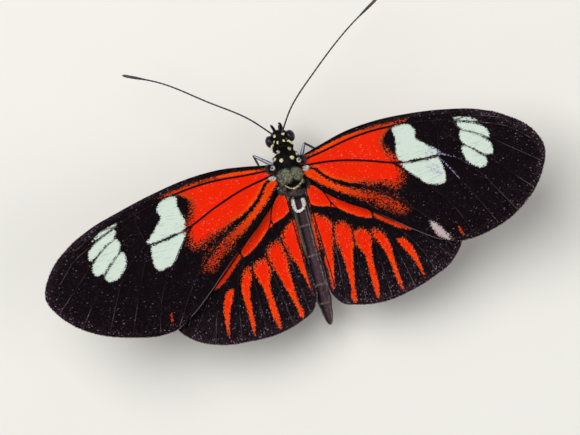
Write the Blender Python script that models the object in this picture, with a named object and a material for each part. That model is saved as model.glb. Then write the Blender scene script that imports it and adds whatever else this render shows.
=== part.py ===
# Doris longwing butterfly, red form, life size, standing with its wings held open.
# Metres, +Z up, head towards +Y, +X on the insect's right. The floor is z = 0.

import math

import bpy
import numpy as np
from mathutils import Vector
from mathutils.geometry import delaunay_2d_cdt

MM = 0.001
LEFT, RIGHT = -1, 1
SIDE_NAMES = {LEFT: "left", RIGHT: "right"}

# Driving sizes, in millimetres
GAP = 0.3                       # clearance kept between nodes that meet
WING_THICKNESS = 0.5
VEIN_HALF_WIDTH = 0.38
VEIN_HEIGHT = 0.2               # ridge on the upper face
VEIN_UNDERSIDE = 0.4            # share of that height on the lower face
VEIN_END_SHARE = 0.45           # share left where a vein reaches the margin
OUTLINE_STEP = 1.9              # spacing of points round a wing
VEIN_STEP = 2.6
FILL_STEP = 3.6                 # spacing of the points between veins
FILL_CLEARANCE = 1.1            # how far those keep from veins and margins
FLANK_CLEARANCE = 0.35          # how far the foot of a ridge keeps from the margin

FORE_DIHEDRAL = math.radians(14)
HIND_DIHEDRAL = math.radians(10)
FORE_HINGE = (3.24, 1.0, 10.28)
HIND_HINGE = (2.0, -2.0, 9.02)
FORE_BOW = 0.6                  # how far the middle of a wing rises above its plane
HIND_BOW = 0.3
BOW_START = 8.0                 # distance from the root over which the rise begins

THORAX_FRONT, THORAX_REAR = 3.45, -4.0
THORAX_HALF_WIDTH, THORAX_HALF_HEIGHT = 2.5, 2.55
THORAX_HEIGHT = 8.95            # its middle line above the floor
THORAX_BLUNTNESS = (2.4, 3.2)   # behind and in front: 2 would make an ellipsoid, more a blunter end
COLLAR_LENGTH = 0.55
COLLAR_HALF_WIDTH, COLLAR_HALF_HEIGHT = 1.75, 1.65
COLLAR_HEIGHT = 9.15
COLLAR_PROFILE = ((0.0, 0.86), (0.3, 1.0), (0.7, 0.96), (1.0, 0.78))    # place along it, share of its width
HEAD_HALF_AXES = (1.45, 1.2, 1.3)
HEAD_HEIGHT = 9.35
EYE_HALF_AXES = (0.78, 1.0, 1.1)
EYE_OFFSET = (1.64, -0.32, -0.05)    # from the middle of the head
ABDOMEN_LENGTH = 20.0
ABDOMEN_SEGMENTS = 8
SEGMENT_GROOVE = 0.09           # share of the width lost in the groove between segments
ABDOMEN_SWAY = -0.95            # how far its tip swings to the left
ABDOMEN_SWAY_BEND = 1.2         # above 1 the swing grows towards the tip
ABDOMEN_DEPTH = 1.12            # height over width
ABDOMEN_HEIGHT_STATIONS = (0.0, 0.2, 0.5, 0.8, 1.0)
ABDOMEN_HEIGHTS = (8.85, 8.6, 7.8, 6.75, 6.0)
ABDOMEN_WIDTH_STATIONS = (0.0, 0.06, 0.3, 0.45, 0.66, 0.8, 0.92, 0.97, 1.0)
ABDOMEN_HALF_WIDTHS = (0.85, 1.08, 1.0, 1.02, 1.26, 1.2, 0.8, 0.5, 0.24)
TEGULA_HALF_AXES = (0.85, 0.62, 0.27)
TEGULA_PLACE = (-0.45, 0.2)     # its middle in the forewing's plane

THIGH_RADII = (0.4, 0.3)
SHIN_RADII = (0.28, 0.25)
FOOT_RADII = (0.3, 0.27)
HIP_NARROWING = 0.8             # share of the thigh's radius where it leaves the body
HEEL_LENGTH = 0.3               # how far a foot reaches back past its ankle
FOOT_HEIGHT = 0.24              # a foot's middle line: lower than its radius, so its underside is flat
FORELEG_RADII = (0.34, 0.26)
ANTENNA_RADIUS, CLUB_RADIUS = 0.26, 0.42
CLUB_PLACE, CLUB_SPREAD = 0.93, 0.09     # shares of the antenna's length
ANTENNA_STEP, PALP_STEP, FORELEG_STEP = 1.5, 0.6, 0.7
ROD_END_WIDTH, ROD_END_LENGTH = 0.6, 0.35    # shares of a rod's radius, for its rounded ends
ELLIPSOID_END = math.radians(80)             # how far towards its poles an ellipsoid has rings
PALP_STATIONS = (0.0, 0.5, 1.0)
PALP_RADII = (0.34, 0.34, 0.26)
TONGUE_RADIUS = 0.25
TONGUE_TURNS = 1.5
TONGUE_PITCH = 0.66             # distance between the turns of the coil
TONGUE_INNER = 0.32             # radius at which the coil starts
TONGUE_STEPS = 26

# The middle of the whole insect, from antenna tips to abdomen tip, is set over the origin.
CENTRE_SHIFT = (0.53, 0.88)

# Wing outlines in the wing's own plane: distance out from the hinge, distance forwards of it.
# Each runs from the front of the root round the tip to the back of the root.
# The two sides differ a little, as the photo shows them.
FORE_REAR_MARGIN = (
    (17.4, -18.7), (13.7, -16.0), (10.2, -13.0), (7.6, -10.8), (5.1, -9.1), (2.6, -7.1), (0.7, -5.2),
    (-0.6, -3.2),
)
FORE_OUTLINE = {
    LEFT: (
        (0.0, 1.0), (3.0, 1.6), (7.0, 2.2), (12.0, 2.2), (18.0, 1.35), (24.0, 0.0), (29.05, -1.45),
        (33.2, -3.5), (36.75, -6.5), (38.4, -10.2), (36.7, -13.85), (32.7, -17.3), (27.5, -19.35),
        (23.0, -20.3), (20.4, -20.2), *FORE_REAR_MARGIN,
    ),
    RIGHT: (
        (0.0, 0.9), (3.0, 1.4), (7.0, 2.0), (12.0, 2.05), (18.0, 1.3), (24.0, -0.05), (28.95, -1.75),
        (32.85, -4.05), (36.05, -7.05), (37.3, -10.2), (36.15, -13.45), (32.5, -17.1), (27.5, -19.3),
        (23.0, -19.95), (20.4, -19.85), *FORE_REAR_MARGIN,
    ),
}
FORE_ROOT = (-2.2, -1.2, -0.2, 0.7)      # distances forwards of the hinge where it meets the thorax
HIND_FRONT_MARGIN = ((1.8, 0.1), (4.0, 0.3), (9.0, -1.2), (14.0, -4.0), (18.3, -8.6), (21.0, -13.2))
HIND_OUTLINE = {
    LEFT: (
        *HIND_FRONT_MARGIN, (21.5, -16.9), (19.05, -19.6), (15.55, -21.15), (11.0, -21.85), (6.5, -21.9),
        (2.8, -21.0), (0.5, -19.8), (-0.4, -18.3), (-0.56, -14.0), (-0.56, -9.0), (-0.56, -4.6),
        (-0.45, -2.4),
    ),
    # its inner margin follows the abdomen, which swings to the left
    RIGHT: (
        *HIND_FRONT_MARGIN, (21.2, -16.75), (18.8, -19.25), (15.35, -20.6), (11.0, -21.6), (6.5, -21.85),
        (2.75, -21.1), (0.3, -20.1), (-0.75, -18.6), (-1.0, -14.0), (-1.0, -9.0), (-0.56, -4.6),
        (-0.45, -2.4),
    ),
}
HIND_ROOT = (-1.4, -0.7, -0.1)

# Main veins, named as on a real wing, each from its root or its fork outwards
FORE_VEINS = {
    "subcosta": ((1.2, 0.8), (6.0, 1.35), (12.3, 1.35), (19.0, 0.3)),
    "radius": ((0.5, 0.0), (7.7, 0.45), (14.9, 0.1), (21.2, -1.1), (27.9, -3.2), (34.0, -7.2)),
    "cubitus": ((0.5, -0.7), (5.1, -1.95), (10.0, -3.6), (15.2, -5.7), (21.3, -6.1)),
    "cell_end": ((21.8, -2.2), (21.6, -4.3), (21.9, -5.4)),
    "media_1": ((25.6, -3.8), (29.5, -6.5), (35.2, -11.6)),
    "media_2": ((22.8, -4.35), (25.2, -6.0), (29.5, -10.3), (33.0, -15.3)),
    "media_3": ((22.2, -6.7), (26.3, -10.7), (29.6, -17.0)),
    "cubitus_1": ((20.6, -7.3), (23.6, -12.0), (26.6, -18.2)),
    "cubitus_2": ((15.2, -6.9), (19.2, -11.9), (22.4, -19.0)),
    "anal": ((0.8, -2.3), (4.3, -5.2), (8.6, -7.5), (14.0, -12.0), (18.6, -17.6)),
}
HIND_VEINS = {
    "costa": ((1.9, -1.3), (8.0, -3.2), (14.6, -8.2), (19.6, -16.6)),
    "cell": ((1.0, -2.2), (3.2, -5.0), (6.0, -7.6), (9.0, -9.0)),
    "media_1": ((9.9, -9.6), (14.0, -13.6), (16.0, -19.6)),
    "media_2": ((8.7, -10.1), (10.6, -14.2), (12.1, -20.4)),
    "media_3": ((6.9, -9.4), (7.9, -14.0), (8.1, -20.8)),
    "cubitus_1": ((4.9, -7.8), (4.6, -14.0), (4.2, -20.2)),
    "cubitus_2": ((2.5, -5.6), (1.75, -11.0), (1.3, -18.8)),
}

# Legs: how far forward each starts, how far round the thorax's underside from straight down,
# then its knee, its ankle and its claw. The middle knees differ, as the photo shows them.
MIDDLE_LEG_ROOT = (1.5, math.radians(42))
MIDDLE_LEG = {
    LEFT: ((-5.05, 4.45, 7.7), (-5.7, 3.5), (-8.8, 2.3)),
    RIGHT: ((3.3, 3.95, 7.8), (4.5, 3.1), (7.6, 2.0)),
}
HIND_LEG_ROOT = (-1.7, math.radians(42))
HIND_LEG = {
    LEFT: ((-4.2, -5.2, 7.8), (-5.9, -9.1), (-7.6, -13.4)),
    RIGHT: ((4.2, -5.2, 7.8), (5.9, -9.1), (7.6, -13.4)),
}
FORELEG_ROOT = (2.3, math.radians(22))
FORELEG_BENDS = ((0.95, 3.3, 6.0), (0.9, 4.3, 6.0), (0.82, 5.1, 6.7))
ANTENNA_ROOT = (0.45, 0.55, 0.8)         # direction from the middle of the head
ANTENNA_BENDS = {
    LEFT: ((-3.3, 9.3, 11.8), (-9.0, 14.0, 12.9), (-15.0, 18.9, 12.8), (-21.0, 22.35, 12.0)),
    RIGHT: ((3.2, 9.0, 11.8), (9.0, 13.6, 12.9), (15.0, 17.9, 12.8), (21.3, 21.6, 12.0)),
}
PALP_ROOT = (0.32, 0.75, -0.62)
PALP_BENDS = ((0.62, 7.5, 8.9), (0.66, 7.75, 10.0), (0.6, 7.6, 11.2))
TONGUE_CENTRE = (0.0, 7.05, 6.3)

COLOURS = {
    "red_orange_scales": ((0.78, 0.1, 0.02), 0.7),
    "body_black": ((0.015, 0.013, 0.017), 0.55),
    "abdomen_grey": ((0.12, 0.1, 0.1), 0.6),
    "eye_dark": ((0.02, 0.015, 0.03), 0.15),
    "leg_black": ((0.02, 0.02, 0.03), 0.45),
    "feeler_black": ((0.014, 0.012, 0.014), 0.4),
    "wing_base_scales": ((0.2, 0.18, 0.16), 0.6),
}


def clear_scene():
    for item in list(bpy.data.objects):
        bpy.data.objects.remove(item, do_unlink=True)


def material(name):
    if name in bpy.data.materials:
        return bpy.data.materials[name]
    colour, roughness = COLOURS[name]
    made = bpy.data.materials.new(name)
    made.use_nodes = True
    shader = made.node_tree.nodes["Principled BSDF"]
    shader.inputs["Base Color"].default_value = (*colour, 1.0)
    shader.inputs["Roughness"].default_value = roughness
    shader.inputs["Metallic"].default_value = 0.0
    return made


def facing_out(points, faces):
    """The same faces, all turned round if they faced inwards."""
    corners = np.array(points, float)
    volume = 0.0
    for face in faces:
        for i in range(1, len(face) - 1):
            volume += float(np.linalg.det(corners[[face[0], face[i], face[i + 1]]]))
    return [face[::-1] for face in faces] if volume < 0 else faces


def make_node(name, shape, material_name):
    """An object from points in millimetres and faces, smooth but for its sharp edges."""
    points, faces = shape
    faces = facing_out(points, faces)
    placed = [((x + CENTRE_SHIFT[0]) * MM, (y + CENTRE_SHIFT[1]) * MM, z * MM) for x, y, z in points]
    mesh = bpy.data.meshes.new(name)
    mesh.from_pydata(placed, [], faces)
    mesh.shade_smooth()
    mesh.set_sharp_from_angle(angle=math.radians(40))
    mesh.materials.append(material(material_name))
    made = bpy.data.objects.new(name, mesh)
    bpy.context.scene.collection.objects.link(made)
    return made


def spline(controls, step):
    """Points about one step apart on a smooth curve through the controls."""
    knots = [np.array(point, float) for point in controls]
    spans = [float(np.linalg.norm(b - a)) for a, b in zip(knots, knots[1:])]
    chords = [(b - a) / span for a, b, span in zip(knots, knots[1:], spans)]
    slopes = [chords[0]]
    for i in range(1, len(chords)):
        slopes.append((chords[i - 1] * spans[i] + chords[i] * spans[i - 1]) / (spans[i - 1] + spans[i]))
    slopes.append(chords[-1])
    curve = []
    for i, span in enumerate(spans):
        count = max(1, round(span / step))
        for part in range(count):
            t = part / count
            curve.append(
                knots[i] * (1 + 2 * t) * (1 - t) ** 2
                + slopes[i] * span * t * (1 - t) ** 2
                + knots[i + 1] * t * t * (3 - 2 * t)
                - slopes[i + 1] * span * t * t * (1 - t)
            )
    curve.append(knots[-1])
    return curve


def skin_rings(rings):
    """One closed surface over rings of equal count, with flat ends."""
    sides = len(rings[0])
    points = [point for ring in rings for point in ring]
    faces = [list(range(sides))[::-1], [len(points) - sides + i for i in range(sides)]]
    for start in range(0, len(points) - sides, sides):
        for i in range(sides):
            j = (i + 1) % sides
            faces.append([start + i, start + j, start + sides + j, start + sides + i])
    return points, faces


def along_y(sections, sides):
    """A body whose cross-sections face +Y, given as centre, half width and half height."""
    rings = []
    for (x, y, z), half_width, half_height in sections:
        rings.append([
            (x + half_width * math.sin(turn), y, z + half_height * math.cos(turn))
            for turn in (2 * math.pi * i / sides for i in range(sides))
        ])
    return skin_rings(rings)


def ellipsoid(centre, half_axes, sides=12, rows=8):
    sections = []
    for row in range(rows + 1):
        bend = ELLIPSOID_END * (2 * row / rows - 1)
        place = (centre[0], centre[1] + half_axes[1] * math.sin(bend) / math.sin(ELLIPSOID_END), centre[2])
        sections.append((place, half_axes[0] * math.cos(bend), half_axes[2] * math.cos(bend)))
    return along_y(sections, sides)


def tube(path, radii, sides=8):
    """A tapering rod along a path, with rounded ends, one radius for each point of the path."""
    path, radii = round_ends([np.array(point, float) for point in path], list(radii))
    rings = []
    across = None
    for i, point in enumerate(path):
        along = path[min(i + 1, len(path) - 1)] - path[max(i - 1, 0)]
        along = along / np.linalg.norm(along)
        seed = np.array((0.0, 0.0, 1.0)) if across is None else across
        if across is None and abs(along[2]) > 0.9:
            seed = np.array((0.0, 1.0, 0.0))
        across = seed - along * float(seed @ along)
        across = across / np.linalg.norm(across)
        third = np.cross(across, along)
        rings.append([
            tuple(point + radii[i] * (math.cos(turn) * across + math.sin(turn) * third))
            for turn in (2 * math.pi * (k + 0.5) / sides for k in range(sides))
        ])
    return skin_rings(rings)


def round_ends(path, radii):
    """Two smaller rings inside each end, so that a rod closes like a fingertip."""
    first = (path[1] - path[0]) / np.linalg.norm(path[1] - path[0])
    last = (path[-1] - path[-2]) / np.linalg.norm(path[-1] - path[-2])
    start, end = radii[0], radii[-1]
    points = [path[0], path[0] + first * start * ROD_END_LENGTH] + path[1:-1]
    points += [path[-1] - last * end * ROD_END_LENGTH, path[-1]]
    widths = [start * ROD_END_WIDTH, start] + radii[1:-1] + [end, end * ROD_END_WIDTH]
    return points, widths


def shortened(start, end, from_start, from_end):
    """The stretch between two points, less a length at each end."""
    start, end = np.array(start, float), np.array(end, float)
    along = (end - start) / np.linalg.norm(end - start)
    return start + along * from_start, end - along * from_end


def mirrored(points, side):
    return [(side * point[0], *point[1:]) for point in points]


# Thorax and the surface that wings and legs are set against

def thorax_share(y):
    """Width of the thorax at y, as a share of its widest."""
    middle = (THORAX_FRONT + THORAX_REAR) / 2
    bluntness = THORAX_BLUNTNESS[y > middle]
    t = abs(y - middle) / ((THORAX_FRONT - THORAX_REAR) / 2)
    return max(0.0, 1 - t ** bluntness) ** (1 / bluntness)


def thorax_side(y, z):
    """Distance from the middle plane to the thorax's flank at this height."""
    share = thorax_share(y)
    rise = (z - THORAX_HEIGHT) / max(THORAX_HALF_HEIGHT * share, 0.01)
    return THORAX_HALF_WIDTH * share * math.sqrt(max(0.0, 1 - rise * rise))


def thorax_underside(y, from_below, out):
    """A point a little way out of the thorax's underside, on the right."""
    share = thorax_share(y)
    x = (THORAX_HALF_WIDTH * share + out) * math.sin(from_below)
    z = THORAX_HEIGHT - (THORAX_HALF_HEIGHT * share + out) * math.cos(from_below)
    return x, y, z


def build_thorax():
    sections = []
    middle, half = (THORAX_FRONT + THORAX_REAR) / 2, (THORAX_FRONT - THORAX_REAR) / 2
    for row in range(15):
        y = middle + half * 0.995 * math.sin(math.pi / 2 * (row / 7 - 1))
        share = thorax_share(y)
        sections.append(((0.0, y, THORAX_HEIGHT), THORAX_HALF_WIDTH * share, THORAX_HALF_HEIGHT * share))
    make_node("thorax", along_y(sections, 20), "body_black")


def build_collar():
    rear = THORAX_FRONT + GAP
    sections = []
    for at, share in COLLAR_PROFILE:
        place = (0.0, rear + COLLAR_LENGTH * at, COLLAR_HEIGHT)
        sections.append((place, COLLAR_HALF_WIDTH * share, COLLAR_HALF_HEIGHT * share))
    make_node("prothorax", along_y(sections, 16), "body_black")


# Head, with the eyes set into it

def head_centre():
    return 0.0, THORAX_FRONT + GAP + COLLAR_LENGTH + GAP + HEAD_HALF_AXES[1], HEAD_HEIGHT


def off_head(direction, out):
    """The point where a line from the head's middle leaves it, and a little further."""
    direction = np.array(direction, float)
    direction = direction / np.linalg.norm(direction)
    reach = 1 / np.linalg.norm(direction / np.array(HEAD_HALF_AXES))
    return np.array(head_centre()) + direction * (reach + out)


def build_head():
    head = make_node("head", ellipsoid(head_centre(), HEAD_HALF_AXES, 16, 10), "body_black")
    for side in (LEFT, RIGHT):
        name = SIDE_NAMES[side]
        centre = tuple(a + b for a, b in zip(head_centre(), mirrored([EYE_OFFSET], side)[0]))
        make_node(f"eye_{name}", ellipsoid(centre, EYE_HALF_AXES, 14, 8), "eye_dark")
        socket_axes = tuple(length + GAP for length in EYE_HALF_AXES)
        socket = make_node(f"eye_socket_{name}", ellipsoid(centre, socket_axes, 14, 8), "eye_dark")
        socket.hide_render = True
        socket.display_type = "WIRE"
        cut = head.modifiers.new(f"socket_{name}", "BOOLEAN")
        cut.operation = "DIFFERENCE"
        cut.solver = "EXACT"
        cut.object = socket


def build_head_parts():
    """Antennae, palps and the coiled tongue."""
    for side in (LEFT, RIGHT):
        name = SIDE_NAMES[side]
        root = off_head(ANTENNA_ROOT, GAP)
        path = spline([mirrored([root], side)[0], *ANTENNA_BENDS[side]], ANTENNA_STEP)
        shares = [i / (len(path) - 1) for i in range(len(path))]
        clubs = [bump(share, CLUB_PLACE, CLUB_SPREAD) for share in shares]
        radii = [ANTENNA_RADIUS + (CLUB_RADIUS - ANTENNA_RADIUS) * club for club in clubs]
        make_node(f"antenna_{name}", tube(path, radii, 6), "feeler_black")
        root = off_head(PALP_ROOT, GAP)
        path = spline(mirrored([root, *PALP_BENDS], side), PALP_STEP)
        shares = np.linspace(0, 1, len(path))
        radii = np.interp(shares, PALP_STATIONS, PALP_RADII)
        make_node(f"palp_{name}", tube(path, radii, 8), "body_black")
    make_node("proboscis", build_tongue(), "body_black")


def build_tongue():
    """The coiled tongue: it unwinds backwards and runs up to the underside of the head."""
    x, y, z = TONGUE_CENTRE
    path = []
    for i in range(TONGUE_STEPS + 1):
        turn = 2 * math.pi * TONGUE_TURNS * (i / TONGUE_STEPS - 1)
        reach = TONGUE_INNER + TONGUE_PITCH * TONGUE_TURNS * i / TONGUE_STEPS
        path.append((x, y - reach * math.cos(turn), z + reach * math.sin(turn)))
    top = HEAD_HEIGHT - HEAD_HALF_AXES[2] - GAP
    path.append((x, path[-1][1], top))
    return tube(path, [TONGUE_RADIUS] * len(path), 6)


def bump(at, middle, half_width):
    """1 at the middle, falling smoothly to 0 a half width away."""
    t = min(abs(at - middle) / half_width, 1.0)
    return 1 - t * t * (3 - 2 * t)


# Abdomen: segments with grooves between them, drooping and swung a little to the left

def abdomen_line(share):
    y = THORAX_REAR - GAP - ABDOMEN_LENGTH * share
    height = np.interp(share, ABDOMEN_HEIGHT_STATIONS, ABDOMEN_HEIGHTS)
    return ABDOMEN_SWAY * share ** ABDOMEN_SWAY_BEND, y, float(height)


def abdomen_half_width(share):
    return float(np.interp(share, ABDOMEN_WIDTH_STATIONS, ABDOMEN_HALF_WIDTHS))


def build_abdomen():
    sections = []
    for segment in range(ABDOMEN_SEGMENTS):
        for local in (0.0, 0.1, 0.5, 0.9):
            share = (segment + local) / ABDOMEN_SEGMENTS
            groove = 1 - SEGMENT_GROOVE * (local == 0.0 and segment > 0)
            half_width = abdomen_half_width(share) * groove
            sections.append((abdomen_line(share), half_width, half_width * ABDOMEN_DEPTH))
    sections.append((abdomen_line(1.0), abdomen_half_width(1.0), abdomen_half_width(1.0)))
    make_node("abdomen", along_y(sections, 14), "abdomen_grey")


# Wings: a membrane with its veins raised in both faces, split into triangles alike above and below

def in_space(hinge, dihedral, side, u, v, rise):
    """The point u out, v forwards and rise above the wing's plane."""
    x = hinge[0] + u * math.cos(dihedral) - rise * math.sin(dihedral)
    return side * x, hinge[1] + v, hinge[2] + u * math.sin(dihedral) + rise * math.cos(dihedral)


def fore_bow(u, v):
    """Rise of the forewing: greatest along a line from its root to the middle of its outer margin."""
    spread = min(max(u / BOW_START, 0.0), 1.0)
    across = (v + 1.5 + 0.28 * u) / 10
    return FORE_BOW * spread * (0.6 - across * across)


def hind_bow(u, v):
    """Rise of the hindwing: greatest down its middle."""
    spread = min(max(-(v + 2) / BOW_START, 0.0), 1.0)
    across = (u - 9) / 11
    return HIND_BOW * spread * (0.8 - across * across)


def root_edge(hinge, dihedral, stations):
    """Points of a wing's root, one gap away from the thorax's flank."""
    edge = []
    for v in stations:
        u = 0.0
        for _ in range(4):
            z = hinge[2] + u * math.sin(dihedral)
            u = (thorax_side(hinge[1] + v, z) + GAP - hinge[0]) / math.cos(dihedral)
        edge.append(np.array((u, v)))
    return edge


def vein_lines(veins):
    """Every vein as a list of points and the share of full height at each."""
    lines = []
    for controls in veins.values():
        points = spline(controls, VEIN_STEP)
        shares = np.linspace(1.0, VEIN_END_SHARE, len(points))
        lines.append((points, shares))
    return lines


def ridge(point, lines):
    """Height of the veins at a point, highest over the middle line of a vein."""
    height = 0.0
    for points, shares in lines:
        for a, b, share_a, share_b in zip(points, points[1:], shares, shares[1:]):
            t = min(max(float((point - a) @ (b - a)) / float((b - a) @ (b - a)), 0.0), 1.0)
            away = float(np.linalg.norm(point - a - (b - a) * t))
            share = share_a + (share_b - share_a) * t
            height = max(height, share * (1 - away / VEIN_HALF_WIDTH))
    return height * VEIN_HEIGHT


def distance_to(point, line):
    """How far a point is from a line of points."""
    nearest = math.inf
    for a, b in zip(line, line[1:]):
        t = min(max(float((point - a) @ (b - a)) / float((b - a) @ (b - a)), 0.0), 1.0)
        nearest = min(nearest, float(np.linalg.norm(point - a - (b - a) * t)))
    return nearest


def inside(point, loop):
    """True where a point of the plane lies within a closed loop."""
    crossings = 0
    for a, b in zip(loop, loop[1:] + loop[:1]):
        if (a[1] > point[1]) != (b[1] > point[1]):
            crossings += point[0] < a[0] + (b[0] - a[0]) * (point[1] - a[1]) / (b[1] - a[1])
    return crossings % 2 == 1


def flank_lines(points, others, loop):
    """The two feet of a vein's ridge, broken where they would meet another vein or the margin."""
    runs = []
    for hand in (-1, 1):
        run = []
        for i, point in enumerate(points):
            along = points[min(i + 1, len(points) - 1)] - points[max(i - 1, 0)]
            along = along / np.linalg.norm(along)
            foot = point + hand * VEIN_HALF_WIDTH * np.array((-along[1], along[0]))
            free = inside(foot, loop) and distance_to(foot, loop + loop[:1]) > FLANK_CLEARANCE
            free = free and all(distance_to(foot, other) > VEIN_HALF_WIDTH * 1.3 for other in others)
            if free:
                run.append(foot)
            else:
                runs.append(run)
                run = []
        runs.append(run)
    return [run for run in runs if run]


def wing_plan(outline, root, veins):
    """Points and triangles of a wing seen flat, with its veins' lines among the edges."""
    loop = spline(outline, OUTLINE_STEP) + root
    lines = vein_lines(veins)
    edges = []
    points = [Vector(point) for point in loop]
    crests = [line for line, _ in lines]
    for number, crest in enumerate(crests):
        others = crests[:number] + crests[number + 1:]
        for run in [crest, *flank_lines(crest, others, loop)]:
            first = len(points)
            points += [Vector(point) for point in run]
            edges += [(first + i, first + i + 1) for i in range(len(run) - 1)]
    corners = np.array(loop)
    for u in np.arange(corners[:, 0].min(), corners[:, 0].max(), FILL_STEP):
        for v in np.arange(corners[:, 1].min(), corners[:, 1].max(), FILL_STEP):
            spot = np.array((u, v))
            clear = all(distance_to(spot, line) > FILL_CLEARANCE for line in [*crests, loop + loop[:1]])
            if clear and inside(spot, loop):
                points.append(Vector(spot))
    found = delaunay_2d_cdt(points, edges, [list(range(len(loop)))], 1, 1e-5)
    return [np.array(point) for point in found[0]], [list(face) for face in found[2]], lines


def build_wing(name, side, plan, hinge, dihedral, bow):
    flat, triangles, lines = plan
    upper, lower = [], []
    for point in flat:
        u, v = float(point[0]), float(point[1])
        raised = ridge(point, lines)
        middle = bow(u, v)
        upper.append(in_space(hinge, dihedral, side, u, v, middle + WING_THICKNESS / 2 + raised))
        under = WING_THICKNESS / 2 + raised * VEIN_UNDERSIDE
        lower.append(in_space(hinge, dihedral, side, u, v, middle - under))
    count = len(upper)
    borders = {}
    for face in triangles:
        for a, b in zip(face, face[1:] + face[:1]):
            borders[(a, b)] = borders.get((a, b), 0) + 1
    rim = [(a, b) for a, b in borders if (b, a) not in borders]
    faces = [list(face) for face in triangles]
    faces += [[count + i for i in face[::-1]] for face in triangles]
    faces += [[b, a, count + a] for a, b in rim]
    faces += [[b, count + a, count + b] for a, b in rim]
    make_node(f"{name}_{SIDE_NAMES[side]}", (upper + lower, faces), "red_orange_scales")


def build_wings():
    fore_root = root_edge(FORE_HINGE, FORE_DIHEDRAL, FORE_ROOT)
    hind_root = root_edge(HIND_HINGE, HIND_DIHEDRAL, HIND_ROOT)
    for side in (LEFT, RIGHT):
        fore_plan = wing_plan(FORE_OUTLINE[side], fore_root, FORE_VEINS)
        hind_plan = wing_plan(HIND_OUTLINE[side], hind_root, HIND_VEINS)
        build_wing("forewing", side, fore_plan, FORE_HINGE, FORE_DIHEDRAL, fore_bow)
        build_wing("hindwing", side, hind_plan, HIND_HINGE, HIND_DIHEDRAL, hind_bow)
        rise = WING_THICKNESS / 2 + GAP + TEGULA_HALF_AXES[2]
        centre = in_space(FORE_HINGE, FORE_DIHEDRAL, side, *TEGULA_PLACE, rise)
        make_node(f"tegula_{SIDE_NAMES[side]}", ellipsoid(centre, TEGULA_HALF_AXES, 12, 6), "wing_base_scales")


# Legs

def build_walking_leg(name, side, root, joints):
    knee, ankle, claw = joints
    start = mirrored([thorax_underside(*root, GAP + THIGH_RADII[0] * 0.5)], side)[0]
    high, low = shortened(start, knee, 0.0, GAP)
    thigh = [high, (high + low) / 2, low]
    radii = (THIGH_RADII[0] * HIP_NARROWING, THIGH_RADII[0], THIGH_RADII[1])
    make_node(f"{name}_thigh_{SIDE_NAMES[side]}", tube(thigh, radii), "leg_black")
    above_foot = (*ankle, FOOT_HEIGHT + FOOT_RADII[0] + GAP)
    high, low = shortened(knee, above_foot, GAP, 0.0)
    shin = [high, (high + low) / 2, low]
    make_node(f"{name}_shin_{SIDE_NAMES[side]}", tube(shin, (*SHIN_RADII, SHIN_RADII[1])), "leg_black")
    heel, toe = shortened((*ankle, FOOT_HEIGHT), (*claw, FOOT_HEIGHT), -HEEL_LENGTH, 0.0)
    foot = [heel + (toe - heel) * at for at in (0.0, 0.33, 0.67, 1.0)]
    widths = np.linspace(FOOT_RADII[0], FOOT_RADII[1], len(foot))
    points, faces = tube(foot, widths)
    points = [(x, y, max(z, 0.0)) for x, y, z in points]
    make_node(f"{name}_foot_{SIDE_NAMES[side]}", (points, faces), "leg_black")


def build_legs():
    for side in (LEFT, RIGHT):
        build_walking_leg("middle_leg", side, MIDDLE_LEG_ROOT, MIDDLE_LEG[side])
        build_walking_leg("hind_leg", side, HIND_LEG_ROOT, HIND_LEG[side])
        root = thorax_underside(*FORELEG_ROOT, GAP + FORELEG_RADII[0] * 0.5)
        path = spline(mirrored([root, *FORELEG_BENDS], side), FORELEG_STEP)
        radii = np.linspace(FORELEG_RADII[0], FORELEG_RADII[1], len(path))
        make_node(f"foreleg_{SIDE_NAMES[side]}", tube(path, radii), "leg_black")


def main():
    clear_scene()
    build_thorax()
    build_collar()
    build_head()
    build_head_parts()
    build_abdomen()
    build_wings()
    build_legs()


main()
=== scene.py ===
import math

import bpy
import numpy as np
from mathutils import Matrix, Vector
from mathutils.geometry import delaunay_2d_cdt


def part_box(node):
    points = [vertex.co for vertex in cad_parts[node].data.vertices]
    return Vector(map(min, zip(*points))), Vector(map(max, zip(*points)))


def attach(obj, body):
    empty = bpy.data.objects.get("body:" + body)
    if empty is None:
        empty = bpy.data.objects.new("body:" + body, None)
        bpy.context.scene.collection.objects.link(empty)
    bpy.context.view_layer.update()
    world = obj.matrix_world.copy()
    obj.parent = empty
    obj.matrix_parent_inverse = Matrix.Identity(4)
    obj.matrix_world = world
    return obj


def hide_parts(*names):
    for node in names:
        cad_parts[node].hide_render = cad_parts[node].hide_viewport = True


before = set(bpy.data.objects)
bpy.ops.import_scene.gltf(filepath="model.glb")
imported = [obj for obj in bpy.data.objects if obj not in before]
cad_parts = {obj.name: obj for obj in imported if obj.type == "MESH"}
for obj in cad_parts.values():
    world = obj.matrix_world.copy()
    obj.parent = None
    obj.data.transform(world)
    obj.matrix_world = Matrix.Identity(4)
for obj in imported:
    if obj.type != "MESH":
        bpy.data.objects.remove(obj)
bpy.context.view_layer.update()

mm = 0.001
sides = {"left": -1, "right": 1}
thoraxMiddle = -0.275      # where the thorax's own middle lies along the body, in mm
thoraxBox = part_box("thorax")
thoraxPlace = (thoraxBox[0] + thoraxBox[1]) / 2 / mm
bodyShift = np.array((thoraxPlace.x, thoraxPlace.y - thoraxMiddle, 0.0))
print("frame loaded, body shifted", np.round(bodyShift, 3), "mm")


# Small tools: colours, curves and node boards

def srgb(red, green, blue):
    # a colour as a picture shows it, turned into the linear one that shaders take
    parts = [value / 255 for value in (red, green, blue)]
    return tuple(p / 12.92 if p <= 0.04045 else ((p + 0.055) / 1.055) ** 2.4 for p in parts)


def smooth(value, low=0.0, high=1.0):
    t = np.clip((np.asarray(value, float) - low) / (high - low), 0, 1)
    return t * t * (3 - 2 * t)


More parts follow.
